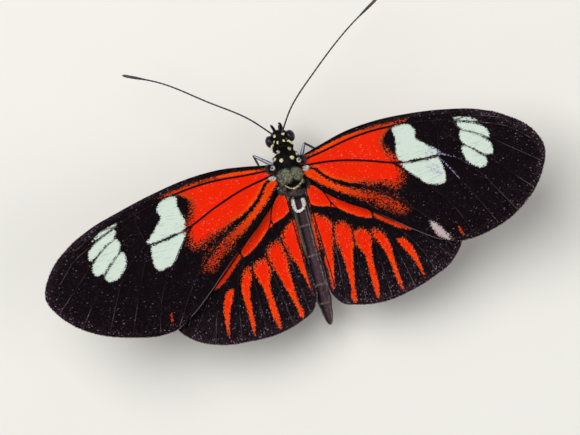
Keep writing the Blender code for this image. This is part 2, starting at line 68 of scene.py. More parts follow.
def spline(controls, step):
    # points about one step apart on a smooth curve through the controls
    knots = np.array(controls, float)
    spans = np.linalg.norm(np.diff(knots, axis=0), axis=1)
    chords = np.diff(knots, axis=0) / spans[:, None]
    slopes = [chords[0]]
    for i in range(1, len(chords)):
        slopes.append((chords[i - 1] * spans[i] + chords[i] * spans[i - 1]) / (spans[i - 1] + spans[i]))
    slopes.append(chords[-1])
    curve = []
    for i, span in enumerate(spans):
        count = max(1, round(float(span) / step))
        for t in np.arange(count) / count:
            curve.append(
                knots[i] * (1 + 2 * t) * (1 - t) ** 2 + slopes[i] * span * t * (1 - t) ** 2
                + knots[i + 1] * t * t * (3 - 2 * t) - slopes[i + 1] * span * t * t * (1 - t)
            )
    curve.append(knots[-1])
    return np.array(curve)


def closedSpline(controls, step):
    # a smooth loop: the curve is run a little past its ends and cut where it meets itself
    controls = list(controls)
    long = spline(controls[-3:] + controls + controls[:3], step)
    first = np.argmin(np.linalg.norm(long - np.array(controls[0]), axis=1))
    ends = np.linalg.norm(long[first + 3:] - np.array(controls[0]), axis=1)
    return long[first:first + 3 + int(np.argmin(ends))]


def lineDistance(points, line):
    # distance of every point from a line of points, and how far along the line the nearest place is
    best = np.full(len(points), np.inf)
    place = np.zeros(len(points))
    for i, (a, b) in enumerate(zip(line, line[1:])):
        span = b - a
        t = np.clip(((points - a) @ span) / max(float(span @ span), 1e-12), 0, 1)
        away = np.linalg.norm(points - a - t[:, None] * span, axis=1)
        nearer = away < best
        best[nearer] = away[nearer]
        place[nearer] = (i + t[nearer]) / (len(line) - 1)
    return best, place


def insideLoop(points, loop):
    crossings = np.zeros(len(points), int)
    for a, b in zip(loop, np.roll(loop, -1, axis=0)):
        spans = (a[1] > points[:, 1]) != (b[1] > points[:, 1])
        if a[1] != b[1]:
            reach = (b[0] - a[0]) * (points[:, 1] - a[1]) / (b[1] - a[1])
            crossings += spans & (points[:, 0] < a[0] + reach)
    return crossings % 2 == 1


def depthInside(points, loop):
    # distance from the loop, more than 0 inside it
    away, _ = lineDistance(points, np.vstack([loop, loop[:1]]))
    return np.where(insideLoop(points, loop), away, -away)


class Wire:
    # a socket that can be used in sums and products
    def __init__(self, board, socket):
        self.board = board
        self.socket = socket

    def __add__(self, other):
        return self.board.maths("ADD", self, other)

    def __sub__(self, other):
        return self.board.maths("SUBTRACT", self, other)

    def __rsub__(self, other):
        return self.board.maths("SUBTRACT", other, self)

    def __mul__(self, other):
        return self.board.maths("MULTIPLY", self, other)

    __radd__ = __add__
    __rmul__ = __mul__


class Board:
    # a node tree with one way to add any node
    def __init__(self, tree):
        self.tree = tree

    def node(self, kind, settings=None, sockets=None, out=0):
        made = self.tree.nodes.new(kind)
        for name, value in (settings or {}).items():
            setattr(made, name, value)
        for name, value in (sockets or {}).items():
            self.feed(made.inputs[name], value)
        return Wire(self, made.outputs[out])

    def feed(self, socket, value):
        # a wire is linked and anything else is set, a colour with nothing let through
        if isinstance(value, Wire):
            self.tree.links.new(value.socket, socket)
        else:
            socket.default_value = (*value, 1.0) if socket.type == "RGBA" else value

    def maths(self, operation, *values):
        return self.node("ShaderNodeMath", {"operation": operation}, dict(enumerate(values)))


class Finish(Board):
    # a material with its principled shader
    def __init__(self, name, roughness, gloss, coat=0.0, coatRoughness=0.03):
        self.material = bpy.data.materials.new(name)
        self.material.use_nodes = True
        super().__init__(self.material.node_tree)
        self.shader = self.tree.nodes["Principled BSDF"]
        for socket, value in (
            ("Roughness", roughness), ("Specular IOR Level", gloss),
            ("Coat Weight", coat), ("Coat Roughness", coatRoughness),
        ):
            self.shader.inputs[socket].default_value = value

    def mix(self, share, low, high):
        settings = {"data_type": "RGBA", "clamp_factor": True}
        return self.node("ShaderNodeMix", settings, {0: share, 6: low, 7: high}, out=2)

    def shaded(self, share, tone, shade):
        # the tone, darkened by the shade as far as the share says
        settings = {"data_type": "RGBA", "blend_type": "MULTIPLY", "clamp_factor": True}
        darker = self.node("ShaderNodeMix", settings, {0: 1.0, 6: tone, 7: shade}, out=2)
        return self.mix(share, tone, darker)

    def rise(self, value, low, high):
        # 0 below low, 1 above high, smooth between them
        settings = {"interpolation_type": "SMOOTHSTEP"}
        return self.node("ShaderNodeMapRange", settings, {0: value, 1: low, 2: high})

    def attribute(self, name, out=2):
        return self.node("ShaderNodeAttribute", {"attribute_name": name}, out=out)

    def surfacePlace(self):
        return self.node("ShaderNodeTexCoord", out=3)

    def scaled(self, vector, size):
        return self.node("ShaderNodeVectorMath", {"operation": "MULTIPLY"}, {0: vector, 1: size})

    def cells(self, vector, scale, randomness, out):
        # out 0 is the distance from a cell's middle, out 1 its own colour
        sockets = {"Vector": vector, "Scale": scale, "Randomness": randomness}
        return self.node("ShaderNodeTexVoronoi", None, sockets, out)

    def noise(self, vector, scale, detail=2.0, rough=0.5):
        sockets = {"Vector": vector, "Scale": scale, "Detail": detail, "Roughness": rough}
        return self.node("ShaderNodeTexNoise", None, sockets)

    def bump(self, height, strength, distance):
        sockets = {"Strength": strength, "Distance": distance, "Height": height}
        self.feed(self.shader.inputs["Normal"], self.node("ShaderNodeBump", None, sockets))

    def colour(self, value):
        self.feed(self.shader.inputs["Base Color"], value)

    def roughness(self, value):
        self.feed(self.shader.inputs["Roughness"], value)


def linked(name, data):
    made = bpy.data.objects.new(name, data)
    bpy.context.scene.collection.objects.link(made)
    return made


def storeVectors(mesh, key, values):
    layer = mesh.attributes.new(key, "FLOAT_VECTOR", "POINT")
    layer.data.foreach_set("vector", np.asarray(values, np.float32).ravel())


def meshObject(name, points, faces, attributes=None, planUv=None):
    # points in mm of the body's own measure; the piece is placed in metres of the frame
    placed = (np.array(points, float) + bodyShift) * mm
    mesh = bpy.data.meshes.new(name)
    mesh.from_pydata([tuple(p) for p in placed], [], [tuple(f) for f in faces])
    for key, values in (attributes or {}).items():
        if values.ndim == 1:
            mesh.attributes.new(key, "FLOAT", "POINT").data.foreach_set("value", values.astype(np.float32))
        else:
            storeVectors(mesh, key, values)
    if planUv is not None:
        corners = np.empty(len(mesh.loops), np.int32)
        mesh.loops.foreach_get("vertex_index", corners)
        layer = mesh.uv_layers.new(name="wingPlan")
        layer.data.foreach_set("uv", np.asarray(planUv, np.float32)[corners].ravel())
    mesh.shade_smooth()
    return linked(name, mesh)


def finishPiece(piece, slot, material, *nodes):
    # rides on the body, and stands for the solids it covers
    if material is not None:
        piece.data.materials.clear()
        piece.data.materials.append(material)
    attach(piece, "root")
    if nodes:
        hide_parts(*nodes)


def onSide(side, path):
    # a path given for the right, on either side
    return [(side * x, y, z) for x, y, z in path]


def lengthAlong(line):
    # how far along the line each of its points lies
    return np.concatenate([[0], np.cumsum(np.linalg.norm(np.diff(line, axis=0), axis=1))])


def ringSkin(rings):
    # one surface over rings of equal count, with a point at each end
    count, around = len(rings), len(rings[0])
    points = [tuple(p) for ring in rings for p in ring]
    faces = []
    for row in range(count - 1):
        for i in range(around):
            j = (i + 1) % around
            a, b = row * around, (row + 1) * around
            faces.append((a + i, a + j, b + j, b + i))
    for row, turned in ((0, True), (count - 1, False)):
        middle = len(points)
        points.append(tuple(np.mean(rings[row], axis=0)))
        for i in range(around):
            a, b = row * around + i, row * around + (i + 1) % around
            faces.append((middle, b, a) if turned else (middle, a, b))
    return points, faces


def tubeRings(path, radii, around):
    # rings along a path, with no twist
    path = np.array(path, float)
    rings = []
    across = None
    for i, point in enumerate(path):
        along = path[min(i + 1, len(path) - 1)] - path[max(i - 1, 0)]
        along = along / np.linalg.norm(along)
        if across is None:
            across = np.array((0.0, 0.0, 1.0) if abs(along[2]) < 0.9 else (0.0, 1.0, 0.0))
        across = across - along * float(across @ along)
        across = across / np.linalg.norm(across)
        third = np.cross(along, across)
        turns = 2 * math.pi * np.arange(around) / around
        rings.append(point + radii[i] * (np.cos(turns)[:, None] * across + np.sin(turns)[:, None] * third))
    return rings


def facingOut(points, faces):
    # the faces of a closed shape, turned round where they show their backs
    corners = np.array(points, float)
    volume = 0.0
    for face in faces:
        for i in range(1, len(face) - 1):
            volume += float(np.dot(corners[face[0]], np.cross(corners[face[i]], corners[face[i + 1]])))
    return faces if volume > 0 else [tuple(face)[::-1] for face in faces]


# Camera, floor and light

view = {
    "lens": 139.0,                          # mm
    "sensor": 36.0,                         # mm
    "distance": 350.0,                      # mm from the thorax to the camera
    "fromRight": math.radians(8.25),        # how far the camera stands to the insect's right
    "fromBehind": math.radians(8.0),        # and behind it
    "roll": math.radians(16.14),            # the body leans to the left in the picture
    "thoraxHeight": 9.0,                    # mm above the floor
    "thoraxPixel": (290.0, 172.3),          # where the middle of the thorax is seen
    "pictureSize": (580, 435),
    "nearest": 0.01,                        # m from the camera, the nearest and furthest that it shows
    "furthest": 10.0,
}


def makeCamera():
    pixelsPerRay = view["lens"] / view["sensor"] * view["pictureSize"][0]
    away = Vector((math.sin(view["fromRight"]), -math.sin(view["fromBehind"]), 0.0))
    away.z = math.sqrt(1 - away.length_squared)
    ahead = (Vector((0, 1, 0)) - away.y * away).normalized()
    beside = ahead.cross(away)
    up = math.cos(view["roll"]) * ahead + math.sin(view["roll"]) * beside
    right = up.cross(away)
    aside, below = (
        (pixel - size / 2) / pixelsPerRay * view["distance"]
        for pixel, size in zip(view["thoraxPixel"], view["pictureSize"])
    )
    middle = Vector((bodyShift[0], bodyShift[1], view["thoraxHeight"]))
    place = middle - aside * right + below * up + view["distance"] * away
    data = bpy.data.cameras.new("viewCamera")
    data.lens = view["lens"]
    data.sensor_width = view["sensor"]
    data.clip_start = view["nearest"]
    data.clip_end = view["furthest"]
    camera = linked("viewCamera", data)
    turned = Matrix((right, up, away)).transposed()
    camera.matrix_world = Matrix.Translation(place * mm) @ turned.to_4x4()
    bpy.context.scene.camera = camera


light = {
    "floorColour": srgb(226, 223, 216),
    "floorShade": 0.97,        # of the floor's darker places
    "floorGrain": 60.0,
    "floorRoughness": 0.8,
    "floorGloss": 0.5,
    "floorReach": 1.5,         # m from the middle to each side
    "skyColour": (0.94, 0.97, 1.0, 1.0),
    "skyStrength": 0.34,
    "keyPower": 2.5,
    "keyPlace": (-0.1, 0.12, 0.5),
    "keySize": 0.42,
    "fillPower": 0.9,
    "fillPlace": (0.4, -0.25, 0.35),
    "fillSize": 0.4,
}


def makeLight():
    world = bpy.data.worlds.new("softRoom")
    world.use_nodes = True
    sky = world.node_tree.nodes["Background"].inputs
    sky["Color"].default_value = light["skyColour"]
    sky["Strength"].default_value = light["skyStrength"]
    bpy.context.scene.world = world
    for name in ("key", "fill"):
        data = bpy.data.lights.new(name + "Light", "AREA")
        data.energy = light[name + "Power"]
        data.size = light[name + "Size"]
        lamp = linked(name + "Light", data)
        lamp.location = light[name + "Place"]
        lamp.rotation_euler = (-Vector(light[name + "Place"])).to_track_quat("-Z", "Y").to_euler()
    floorMesh = bpy.data.meshes.new("floor")
    reach = light["floorReach"]
    corners = [(-reach, -reach, 0), (reach, -reach, 0), (reach, reach, 0), (-reach, reach, 0)]
    floorMesh.from_pydata(corners, [], [(0, 1, 2, 3)])
    paint = Finish("floorPaint", light["floorRoughness"], light["floorGloss"])
    grain = paint.noise(paint.surfacePlace(), light["floorGrain"], 3.0)
    low = tuple(value * light["floorShade"] for value in light["floorColour"])
    paint.colour(paint.mix(grain, low, light["floorColour"]))
    floorMesh.materials.append(paint.material)
    linked("floor", floorMesh)
    bpy.context.scene.view_settings.view_transform = "Standard"
    bpy.context.scene.view_settings.look = "None"


makeCamera()
makeLight()
print("camera, floor and light")


# Wings. Each is drawn flat, in mm out from its hinge and forwards of it, then tilted up into place.

wingShape = {
    "thickness": 0.11,
    "veinHalfWidth": 0.17,
    "veinHeight": 0.12,
    "outlineStep": 0.33,
    "veinStep": 0.5,
    "latticeStep": 0.36,
    "latticeGap": 0.55,        # kept free inside the outline, in steps of the lattice
    "latticeVeinGap": 0.4,     # and beside the veins
    "markStep": 0.3,           # between the points of a marking's outline
    "marginGap": 0.12,         # veins end this far from the outline
    "sag": 0.07,               # how far the membrane dips between its veins
    "sagReach": 0.9,           # and how far from a vein it takes to dip
    "ripple": 0.1,             # height of the waves along the outer margin
    "rippleReach": 2.2,        # and how far in they go
    "waves": 6.5,              # and how many there are
    "mapSize": 50,             # mm of the drawing to one unit of its map
}

forewing = {
    "hinge": (3.24, 1.0, 10.28),
    "dihedral": math.radians(14),
    "outline": {               # the two sides differ a little
        "left": (
            (0.0, 1.0), (3.0, 1.6), (7.0, 2.2), (12.0, 2.2), (18.0, 1.35), (24.0, 0.0), (29.05, -1.45),
            (33.15, -3.55), (36.65, -6.6), (38.25, -10.2), (36.55, -13.8), (32.6, -17.2), (27.5, -19.25),
            (23.0, -20.2), (20.4, -20.1),
        ),
        "right": (
            (0.0, 0.9), (3.0, 1.4), (7.0, 2.0), (12.0, 2.05), (18.0, 1.3), (24.0, -0.05), (28.95, -1.75),
            (32.8, -4.1), (35.95, -7.15), (37.15, -10.2), (36.0, -13.4), (32.4, -17.0), (27.5, -19.2),
            (23.0, -19.85), (20.4, -19.75),
        ),
    },
    "rear": (
        (17.4, -18.7), (13.7, -16.0), (10.2, -13.0), (7.6, -10.8), (5.1, -9.1), (2.6, -7.1), (0.7, -5.2),
        (-0.6, -3.2),
    ),
    # how much further out a side's outer markings lie, at these distances from the hinge
    "shift": {"at": (14, 21, 25, 30, 38), "left": (0, 0, 0.1, 0.5, 0.5), "right": (0, 0.3, 0, -0.3, -0.6)},
    "root": ((-1.5, -2.2), (-1.5, -1.2), (-1.5, -0.2), (-1.3, 0.7)),
    "freeMargin": (6, 15),     # controls of the outline between which the outer margin runs
    "veins": {
        "subcosta": ((0.2, 0.75), (6.0, 1.45), (12.3, 1.5), (19.8, 0.4)),
        "radius": (
            (-1.2, 0.0), (3.8, 0.3), (7.7, 0.65), (11.4, 0.65), (14.9, 0.3), (18.2, -0.2), (21.2, -0.95),
            (24.5, -1.95), (27.9, -3.4), (32.7, -5.8), (35.6, -8.6),
        ),
        "radialFork": ((24.5, -1.95), (28.5, -2.6), (32.0, -4.1)),
        "cubitus": ((-1.2, -0.7), (5.1, -1.95), (9.9, -3.6), (13.5, -5.1), (18.5, -6.2), (21.2, -6.3)),
        "cellEnd": ((21.4, -1.05), (21.9, -2.6), (21.5, -4.4), (21.2, -6.2)),
        "media1": ((24.5, -1.95), (25.4, -3.8), (27.4, -4.9), (29.5, -6.5), (32.6, -9.2), (36.9, -13.0)),
        "media2": ((21.6, -4.3), (23.3, -4.1), (25.2, -6.0), (28.4, -9.0), (30.7, -11.9), (34.0, -16.0)),
        "media3": ((21.2, -6.2), (23.2, -7.4), (26.3, -10.7), (28.1, -13.8), (30.4, -18.3)),
        "cubitus1": ((20.6, -6.3), (21.4, -7.5), (22.4, -9.3), (23.3, -11.2), (25.2, -15.2), (27.0, -19.5)),
        "cubitus2": ((13.7, -5.3), (15.6, -7.2), (17.9, -10.1), (20.4, -13.5), (22.9, -20.2)),
        "anal": (
            (-1.0, -1.2), (0.9, -1.9), (2.1, -3.35), (3.3, -4.5), (5.6, -5.95), (8.4, -7.4), (11.7, -9.9),
            (15.5, -13.7), (19.6, -19.6),
        ),
    },
    "red": {
        "field": (
            1.5,
            (-1.6, 0.35), (1.5, 0.7), (4.5, 1.15), (8.0, 1.4), (12.0, 1.25), (15.0, 0.85), (17.6, 0.4),
            (15.9, 0.35), (14.6, 0.1), (13.5, -0.6), (12.8, -1.3), (12.9, -2.3), (13.5, -3.4),
            (14.3, -4.5), (14.9, -5.6), (14.7, -6.8), (14.6, -8.0), (14.0, -8.6), (13.1, -8.7),
            (11.9, -8.2), (9.8, -7.4), (7.8, -6.5), (5.5, -5.55), (3.5, -4.3), (2.2, -3.1), (1.0, -1.6),
            (-1.4, -1.0),
        ),
        "strip": (
            1.9,
            (-0.9, -1.4), (0.1, -1.75), (0.85, -2.2), (1.8, -3.5), (3.0, -4.7), (4.3, -5.75), (5.9, -6.7),
            (8.1, -8.0), (9.8, -8.9), (11.4, -10.0), (12.6, -11.0), (13.5, -12.3), (12.8, -12.4),
            (11.2, -11.6), (9.65, -10.45), (7.8, -9.25), (5.9, -8.0), (3.9, -6.6), (2.25, -5.3),
            (0.9, -4.1), (-0.2, -3.0), (-0.9, -2.1),
        ),
        "tornusDash": (0.2, (20.25, -17.0), (20.55, -18.1), (20.6, -19.2), (20.3, -18.2)),
    },
    "white": {
        "bandUpper": (
            0.12,
            (14.9, 0.0), (16.0, 0.05), (17.2, -0.2), (17.9, -0.8), (18.25, -1.6), (17.9, -2.5),
            (18.9, -3.8), (20.2, -5.1), (21.1, -6.05), (19.5, -6.1), (17.0, -5.7), (14.8, -5.3),
            (14.5, -4.4), (14.75, -3.0), (15.0, -1.4),
        ),
        "bandLower": (
            0.12,
            (14.8, -5.95), (17.0, -6.25), (19.2, -6.55), (20.5, -6.8), (20.8, -8.0), (20.8, -9.8),
            (20.4, -10.6), (19.4, -10.55), (18.1, -10.1), (16.4, -8.2), (15.3, -6.8),
        ),
        "spot1": (
            0.12,
            (24.5, -1.75), (25.8, -1.95), (27.2, -2.4), (28.7, -3.4), (27.2, -2.95), (25.6, -2.4),
        ),
        "spot2": (
            0.12,
            (25.1, -2.7), (27.1, -3.3), (28.8, -4.2), (29.7, -5.2), (29.8, -6.3), (28.6, -5.75),
            (27.0, -4.6), (25.4, -3.5),
        ),
        "spot3": (
            0.12,
            (25.4, -4.0), (27.2, -5.0), (28.8, -6.3), (29.7, -7.5), (29.4, -8.85), (28.4, -8.7),
            (27.0, -7.45), (25.4, -6.0), (25.0, -4.9),
        ),
        "spot4": (
            0.12,
            (25.0, -6.3), (25.9, -6.7), (27.0, -7.9), (28.3, -9.5), (28.1, -10.05), (27.0, -10.25),
            (25.8, -9.5), (24.8, -7.9),
        ),
    },
}

hindwing = {
    "hinge": (2.0, -2.0, 9.02),
    "dihedral": math.radians(10),
    "outline": {               # the inner margins follow the abdomen, which swings to the left
        "left": (
            (1.8, 0.1), (4.0, 0.3), (9.0, -1.2), (14.0, -4.0), (18.3, -8.6), (21.0, -13.2), (21.4, -16.8),
            (18.95, -19.5), (15.5, -21.05), (11.0, -21.75), (6.5, -21.8), (2.8, -20.9), (0.5, -19.75),
            (-0.45, -18.25), (-0.7, -14.0), (-0.7, -9.0),
        ),
        "right": (
            (1.8, 0.1), (4.0, 0.3), (9.0, -1.2), (14.0, -4.0), (18.3, -8.6), (21.0, -13.2),
            (21.1, -16.65), (18.7, -19.15), (15.3, -20.5), (11.0, -21.5), (6.5, -21.75), (2.75, -21.0),
            (0.25, -20.0), (-0.85, -18.55), (-1.15, -14.0), (-1.15, -9.0),
        ),
    },
    "rear": ((-0.75, -4.6), (-0.5, -2.4)),
    "shift": {"at": (0, 30), "left": (0, 0), "right": (0, 0)},
    "root": ((-0.35, -1.4), (0.0, -0.7), (0.4, -0.1)),
    "freeMargin": (5, 14),
    "veins": {
        "costa": ((2.6, -0.7), (8.0, -3.2), (14.6, -8.2), (19.6, -16.6)),
        "cell": (
            (0.6, -0.7), (1.7, -1.7), (2.4, -2.8), (2.95, -4.3), (3.6, -5.5), (4.6, -6.7), (6.2, -8.1),
            (8.9, -9.1),
        ),
        "cellTop": ((4.4, -3.7), (6.4, -5.6), (9.0, -7.9), (11.3, -9.9), (14.4, -12.4), (18.8, -17.9)),
        "cellEnd": ((8.8, -7.7), (9.0, -9.1)),
        "media1": ((9.0, -9.1), (12.6, -12.2), (15.4, -17.3), (16.4, -20.8)),
        "media2": ((8.6, -9.4), (10.4, -12.0), (11.2, -15.2), (12.4, -21.6)),
        "media3": ((7.0, -8.9), (7.85, -11.0), (8.1, -15.5), (8.3, -21.9)),
        "cubitus1": ((5.0, -6.9), (5.1, -9.7), (4.7, -14.5), (4.0, -21.4)),
        "cubitus2": ((2.95, -4.5), (2.7, -6.0), (2.3, -8.0), (1.6, -13.0), (1.0, -20.1)),
        "anal": ((-0.3, -2.4), (-0.22, -9.4), (-0.15, -17.6)),
    },
    "red": {
        "cellPatch": (
            0.4,
            (0.1, -0.7), (1.1, -1.2), (1.9, -2.1), (2.9, -2.95), (4.4, -4.1), (6.4, -5.8), (8.4, -7.3),
            (8.9, -8.0), (8.6, -8.75), (7.1, -8.2), (5.0, -6.75), (3.5, -5.5), (2.4, -4.95), (1.5, -4.7),
            (0.5, -4.25), (-0.3, -3.65), (-0.35, -2.3),
        ),
        "barTip": (
            0.3,
            (9.2, -7.8), (11.0, -9.2), (12.9, -10.6), (14.1, -11.9), (14.3, -12.4), (12.8, -11.9),
            (11.3, -10.8), (10.0, -9.6), (9.15, -8.85),
        ),
        "rayA": (
            0.42,
            (11.6, -13.2), (12.4, -13.3), (13.3, -14.5), (13.85, -16.3), (14.1, -18.4), (14.15, -20.3),
            (13.7, -18.5), (13.05, -16.6), (12.2, -14.8),
        ),
        "rayB": (
            0.42,
            (8.25, -10.85), (9.2, -11.3), (10.15, -12.9), (10.3, -15.6), (10.3, -18.2), (10.25, -21.1),
            (9.85, -19.6), (9.6, -17.0), (9.2, -14.3), (8.4, -12.2),
        ),
        "rayC": (
            0.42,
            (5.35, -10.3), (6.6, -10.2), (7.7, -11.2), (7.3, -13.0), (6.85, -15.8), (6.75, -18.6),
            (6.1, -21.3), (5.85, -19.4), (5.95, -16.8), (5.9, -14.0), (5.3, -12.0),
        ),
        "rayD": (
            0.42,
            (2.45, -8.4), (3.6, -8.15), (4.8, -9.15), (4.9, -10.4), (4.35, -12.4), (3.6, -15.2),
            (2.88, -18.3), (2.32, -20.6), (2.16, -20.4), (2.35, -17.9), (2.45, -14.9), (2.4, -12.0),
            (2.2, -10.0),
        ),
        "rayE": (
            0.3,
            (-0.5, -5.4), (0.6, -6.0), (1.75, -7.05), (2.1, -8.2), (1.7, -9.8), (1.0, -12.0),
            (0.3, -14.9), (-0.2, -17.4), (-0.2, -15.4), (-0.12, -12.5), (-0.35, -9.4), (-0.5, -7.0),
        ),
        "innerLineRight": (
            0.07,
            (-0.62, -3.4), (-0.9, -5.5), (-1.0, -7.5), (-1.02, -10.0), (-1.1, -13.0), (-1.25, -10.0),
            (-1.25, -7.5), (-1.15, -5.5), (-0.8, -3.4),
        ),
        "rayTailRight": (
            0.3,
            (-0.1, -12.5), (0.1, -14.5), (-0.3, -16.6), (-0.65, -18.0), (-0.62, -16.5), (-0.5, -14.5),
            (-0.4, -12.5),
        ),
    },
    "white": {},
}


def foreBow(u, v):
    across = (v + 1.5 + 0.28 * u) / 10
    return 0.6 * np.clip(u / 8, 0, 1) * (0.6 - across ** 2)


def hindBow(u, v):
    across = (u - 9) / 11
    return 0.3 * np.clip(-(v + 2) / 8, 0, 1) * (0.8 - across ** 2)


forewing["bow"] = foreBow
hindwing["bow"] = hindBow


def wingLoop(wing, sideName):
    # the outline with its root, and the stretches of it that are the outer, the front and the rear margin
    step = wingShape["outlineStep"]
    controls = wing["outline"][sideName] + wing["rear"]
    before = spline(controls, step)
    root = spline((controls[-1], *wing["root"], controls[0]), step)
    ends = [np.array(controls[number]) for number in wing["freeMargin"]]
    first, last = (int(np.argmin(np.linalg.norm(before - end, axis=1))) for end in ends)
    return np.vstack([before, root[1:-1]]), before[first:last + 1], before[:first + 1], before[last:]


def wingPlan(wing, sideName):
    # points and triangles of the wing seen flat, with every vein's crest and feet among its edges,
    # then the veins and the three margins
    loop, margin, costa, rear = wingLoop(wing, sideName)
    points = [Vector(p) for p in loop]
    edges = []
    crests = [spline(controls, wingShape["veinStep"]) for controls in wing["veins"].values()]
    closed = np.vstack([loop, loop[:1]])
    for number, crest in enumerate(crests):
        along = np.gradient(crest, axis=0)
        along = along / np.linalg.norm(along, axis=1)[:, None]
        normal = np.stack([-along[:, 1], along[:, 0]], 1)
        for hand in (-1, 0, 1):
            line = crest + hand * wingShape["veinHalfWidth"] * normal
            keep = insideLoop(line, loop) & (lineDistance(line, closed)[0] > wingShape["marginGap"])
            for other in crests[:number] + crests[number + 1:]:
                away = lineDistance(line, other)[0]
                keep &= away > wingShape["veinHalfWidth"] * (1.3 if hand else 0.3)
            for i in range(len(line)):
                if keep[i]:
                    points.append(Vector(line[i]))
                    if i and keep[i - 1]:
                        edges.append((len(points) - 2, len(points) - 1))
    step = wingShape["latticeStep"]
    low, high = loop.min(0), loop.max(0)
    grid = []
    for row, v in enumerate(np.arange(low[1], high[1], step * 0.866)):        # rows of even triangles
        for u in np.arange(low[0] + (row % 2) * step / 2, high[0], step):
            grid.append((u, v))
    grid = np.array(grid)
    keep = insideLoop(grid, loop) & (lineDistance(grid, closed)[0] > step * wingShape["latticeGap"])
    grid = grid[keep]
    clear = wingShape["veinHalfWidth"] + step * wingShape["latticeVeinGap"]
    for crest in crests:
        grid = grid[lineDistance(grid, crest)[0] > clear]
    points += [Vector(p) for p in grid]
    found = delaunay_2d_cdt(points, edges, [list(range(len(loop)))], 1, 1e-5)
    flat = np.array([tuple(p) for p in found[0]])
    return flat, [tuple(f) for f in found[2]], crests, margin, costa, rear


def depthInMark(flat, controls):
    return depthInside(flat, closedSpline(controls, wingShape["markStep"]))


def wingFields(wing, sideName, flat, crests, margin, costa, rear):
    # what the finish reads at each point: depths inside the markings, and distances from veins and margins
    farOff = np.full(len(flat), 9.0)
    red, redDeep, white, vein = -farOff, -farOff, -farOff, farOff
    rootFar = np.hypot(*flat.T)
    outwards = np.maximum(smooth(-flat[:, 1], 0.3, 3), 0.35 * smooth(flat[:, 1], 0.2, 0.9))
    dusty = 0.16 + 0.84 * smooth(rootFar, 8, 16) * outwards
    broad = 0.6 + 1.5 * smooth(flat[:, 1], -14, -10)        # for the rays, sharper at their outer ends
    shift = np.interp(flat[:, 0], wing["shift"]["at"], wing["shift"][sideName])
    marked = flat - np.stack([shift, 0 * shift], 1)
    # the edge of a marking is dusted over its fuzz, in mm, and less so near the root
    for name, (fuzz, *controls) in wing["red"].items():
        if name.endswith("Right") and sideName != "right":
            continue
        depth = depthInMark(marked, controls)
        thinned = 0.2 * smooth(rootFar, 7, 14) * outwards * (name in ("field", "strip"))
        red = np.maximum(red, depth / (fuzz * (broad if name.startswith("ray") else dusty)) - thinned)
        redDeep = np.maximum(redDeep, depth)
    for fuzz, *controls in wing["white"].values():
        white = np.maximum(white, depthInMark(marked, controls) / (1.6 * fuzz))
    for crest in crests:
        vein = np.minimum(vein, lineDistance(flat, crest)[0])
    outer, outerPlace = lineDistance(flat, margin)
    front, frontPlace = lineDistance(flat, costa)
    return {
        "redField": np.clip(red, -4, 4),
        "redDeep": np.clip(redDeep, -2, 4),
        "whiteField": np.clip(white, -6, 6),
        "veinNear": np.clip(vein, 0, 3),
        "outerNear": np.clip(outer, 0, 9),
        "outerPlace": outerPlace,
        "frontNear": np.clip(front, 0, 9),
        "frontPlace": frontPlace,
        "rearNear": np.clip(lineDistance(flat, rear)[0], 0, 9),
        "rootFar": rootFar,
    }


def inSpace(wing, side, u, v, rise):
    # from the flat drawing to the body's measure
    tilt = wing["dihedral"]
    hinge = wing["hinge"]
    x = side * (hinge[0] + u * math.cos(tilt) - rise * math.sin(tilt))
    return np.stack([x, hinge[1] + v, hinge[2] + u * math.sin(tilt) + rise * math.cos(tilt)], -1)


def marginWave(place):
    # the ripple at a place from 0 to 1 along the outer margin
    return np.cos(place * 2 * math.pi * wingShape["waves"])


def surfaceRise(wing, flat, fields):
    dip = wingShape["sag"] * (1 - np.exp(-(fields["veinNear"] / wingShape["sagReach"]) ** 2))
    wave = wingShape["ripple"] * np.exp(-(fields["outerNear"] / wingShape["rippleReach"]) ** 2)
    return wing["bow"](*flat.T) - dip + wave * marginWave(fields["outerPlace"])


# Wear on the right forewing: a patch rubbed pale, and lilac where scales are lost on two veins and the band
wear = {
    "lineStrength": 1.1,
    "patchStrength": 0.42,
    "rubbed": ((16.5, -15.5), (17.8, -16.7), (18.3, -17.8), (18.9, -19.2), (17.6, -18.4), (16.7, -17.1)),
    "lines": (
        ((21.2, -6.25), (23.2, -7.3), (24.3, -8.2), (25.3, -9.4)),
        ((20.7, -6.4), (21.4, -7.5), (22.4, -9.3), (23.1, -10.8)),
    ),
    "patches": (
        ((18.5, -4.8), (20.9, -5.5), (20.7, -6.0), (18.7, -5.5)),
        ((18.6, -7.3), (20.0, -7.3), (20.9, -8.6), (20.7, -9.7), (19.8, -9.4), (18.8, -8.3)),
    ),
}


def wornFields(flat):
    lilac = np.zeros(len(flat))
    for controls in wear["lines"]:
        away, along = lineDistance(flat, spline(controls, 0.2))
        faint = wear["lineStrength"] * (1 - smooth(away, 0.02, 0.11)) * (1 - 0.6 * along)
        lilac = np.maximum(lilac, faint)
    for controls in wear["patches"]:
        faint = wear["patchStrength"] * smooth(depthInMark(flat, controls), -0.2, 0.3)
        lilac = np.maximum(lilac, faint)
    return {"rubbed": depthInMark(flat, wear["rubbed"]), "lilac": lilac}


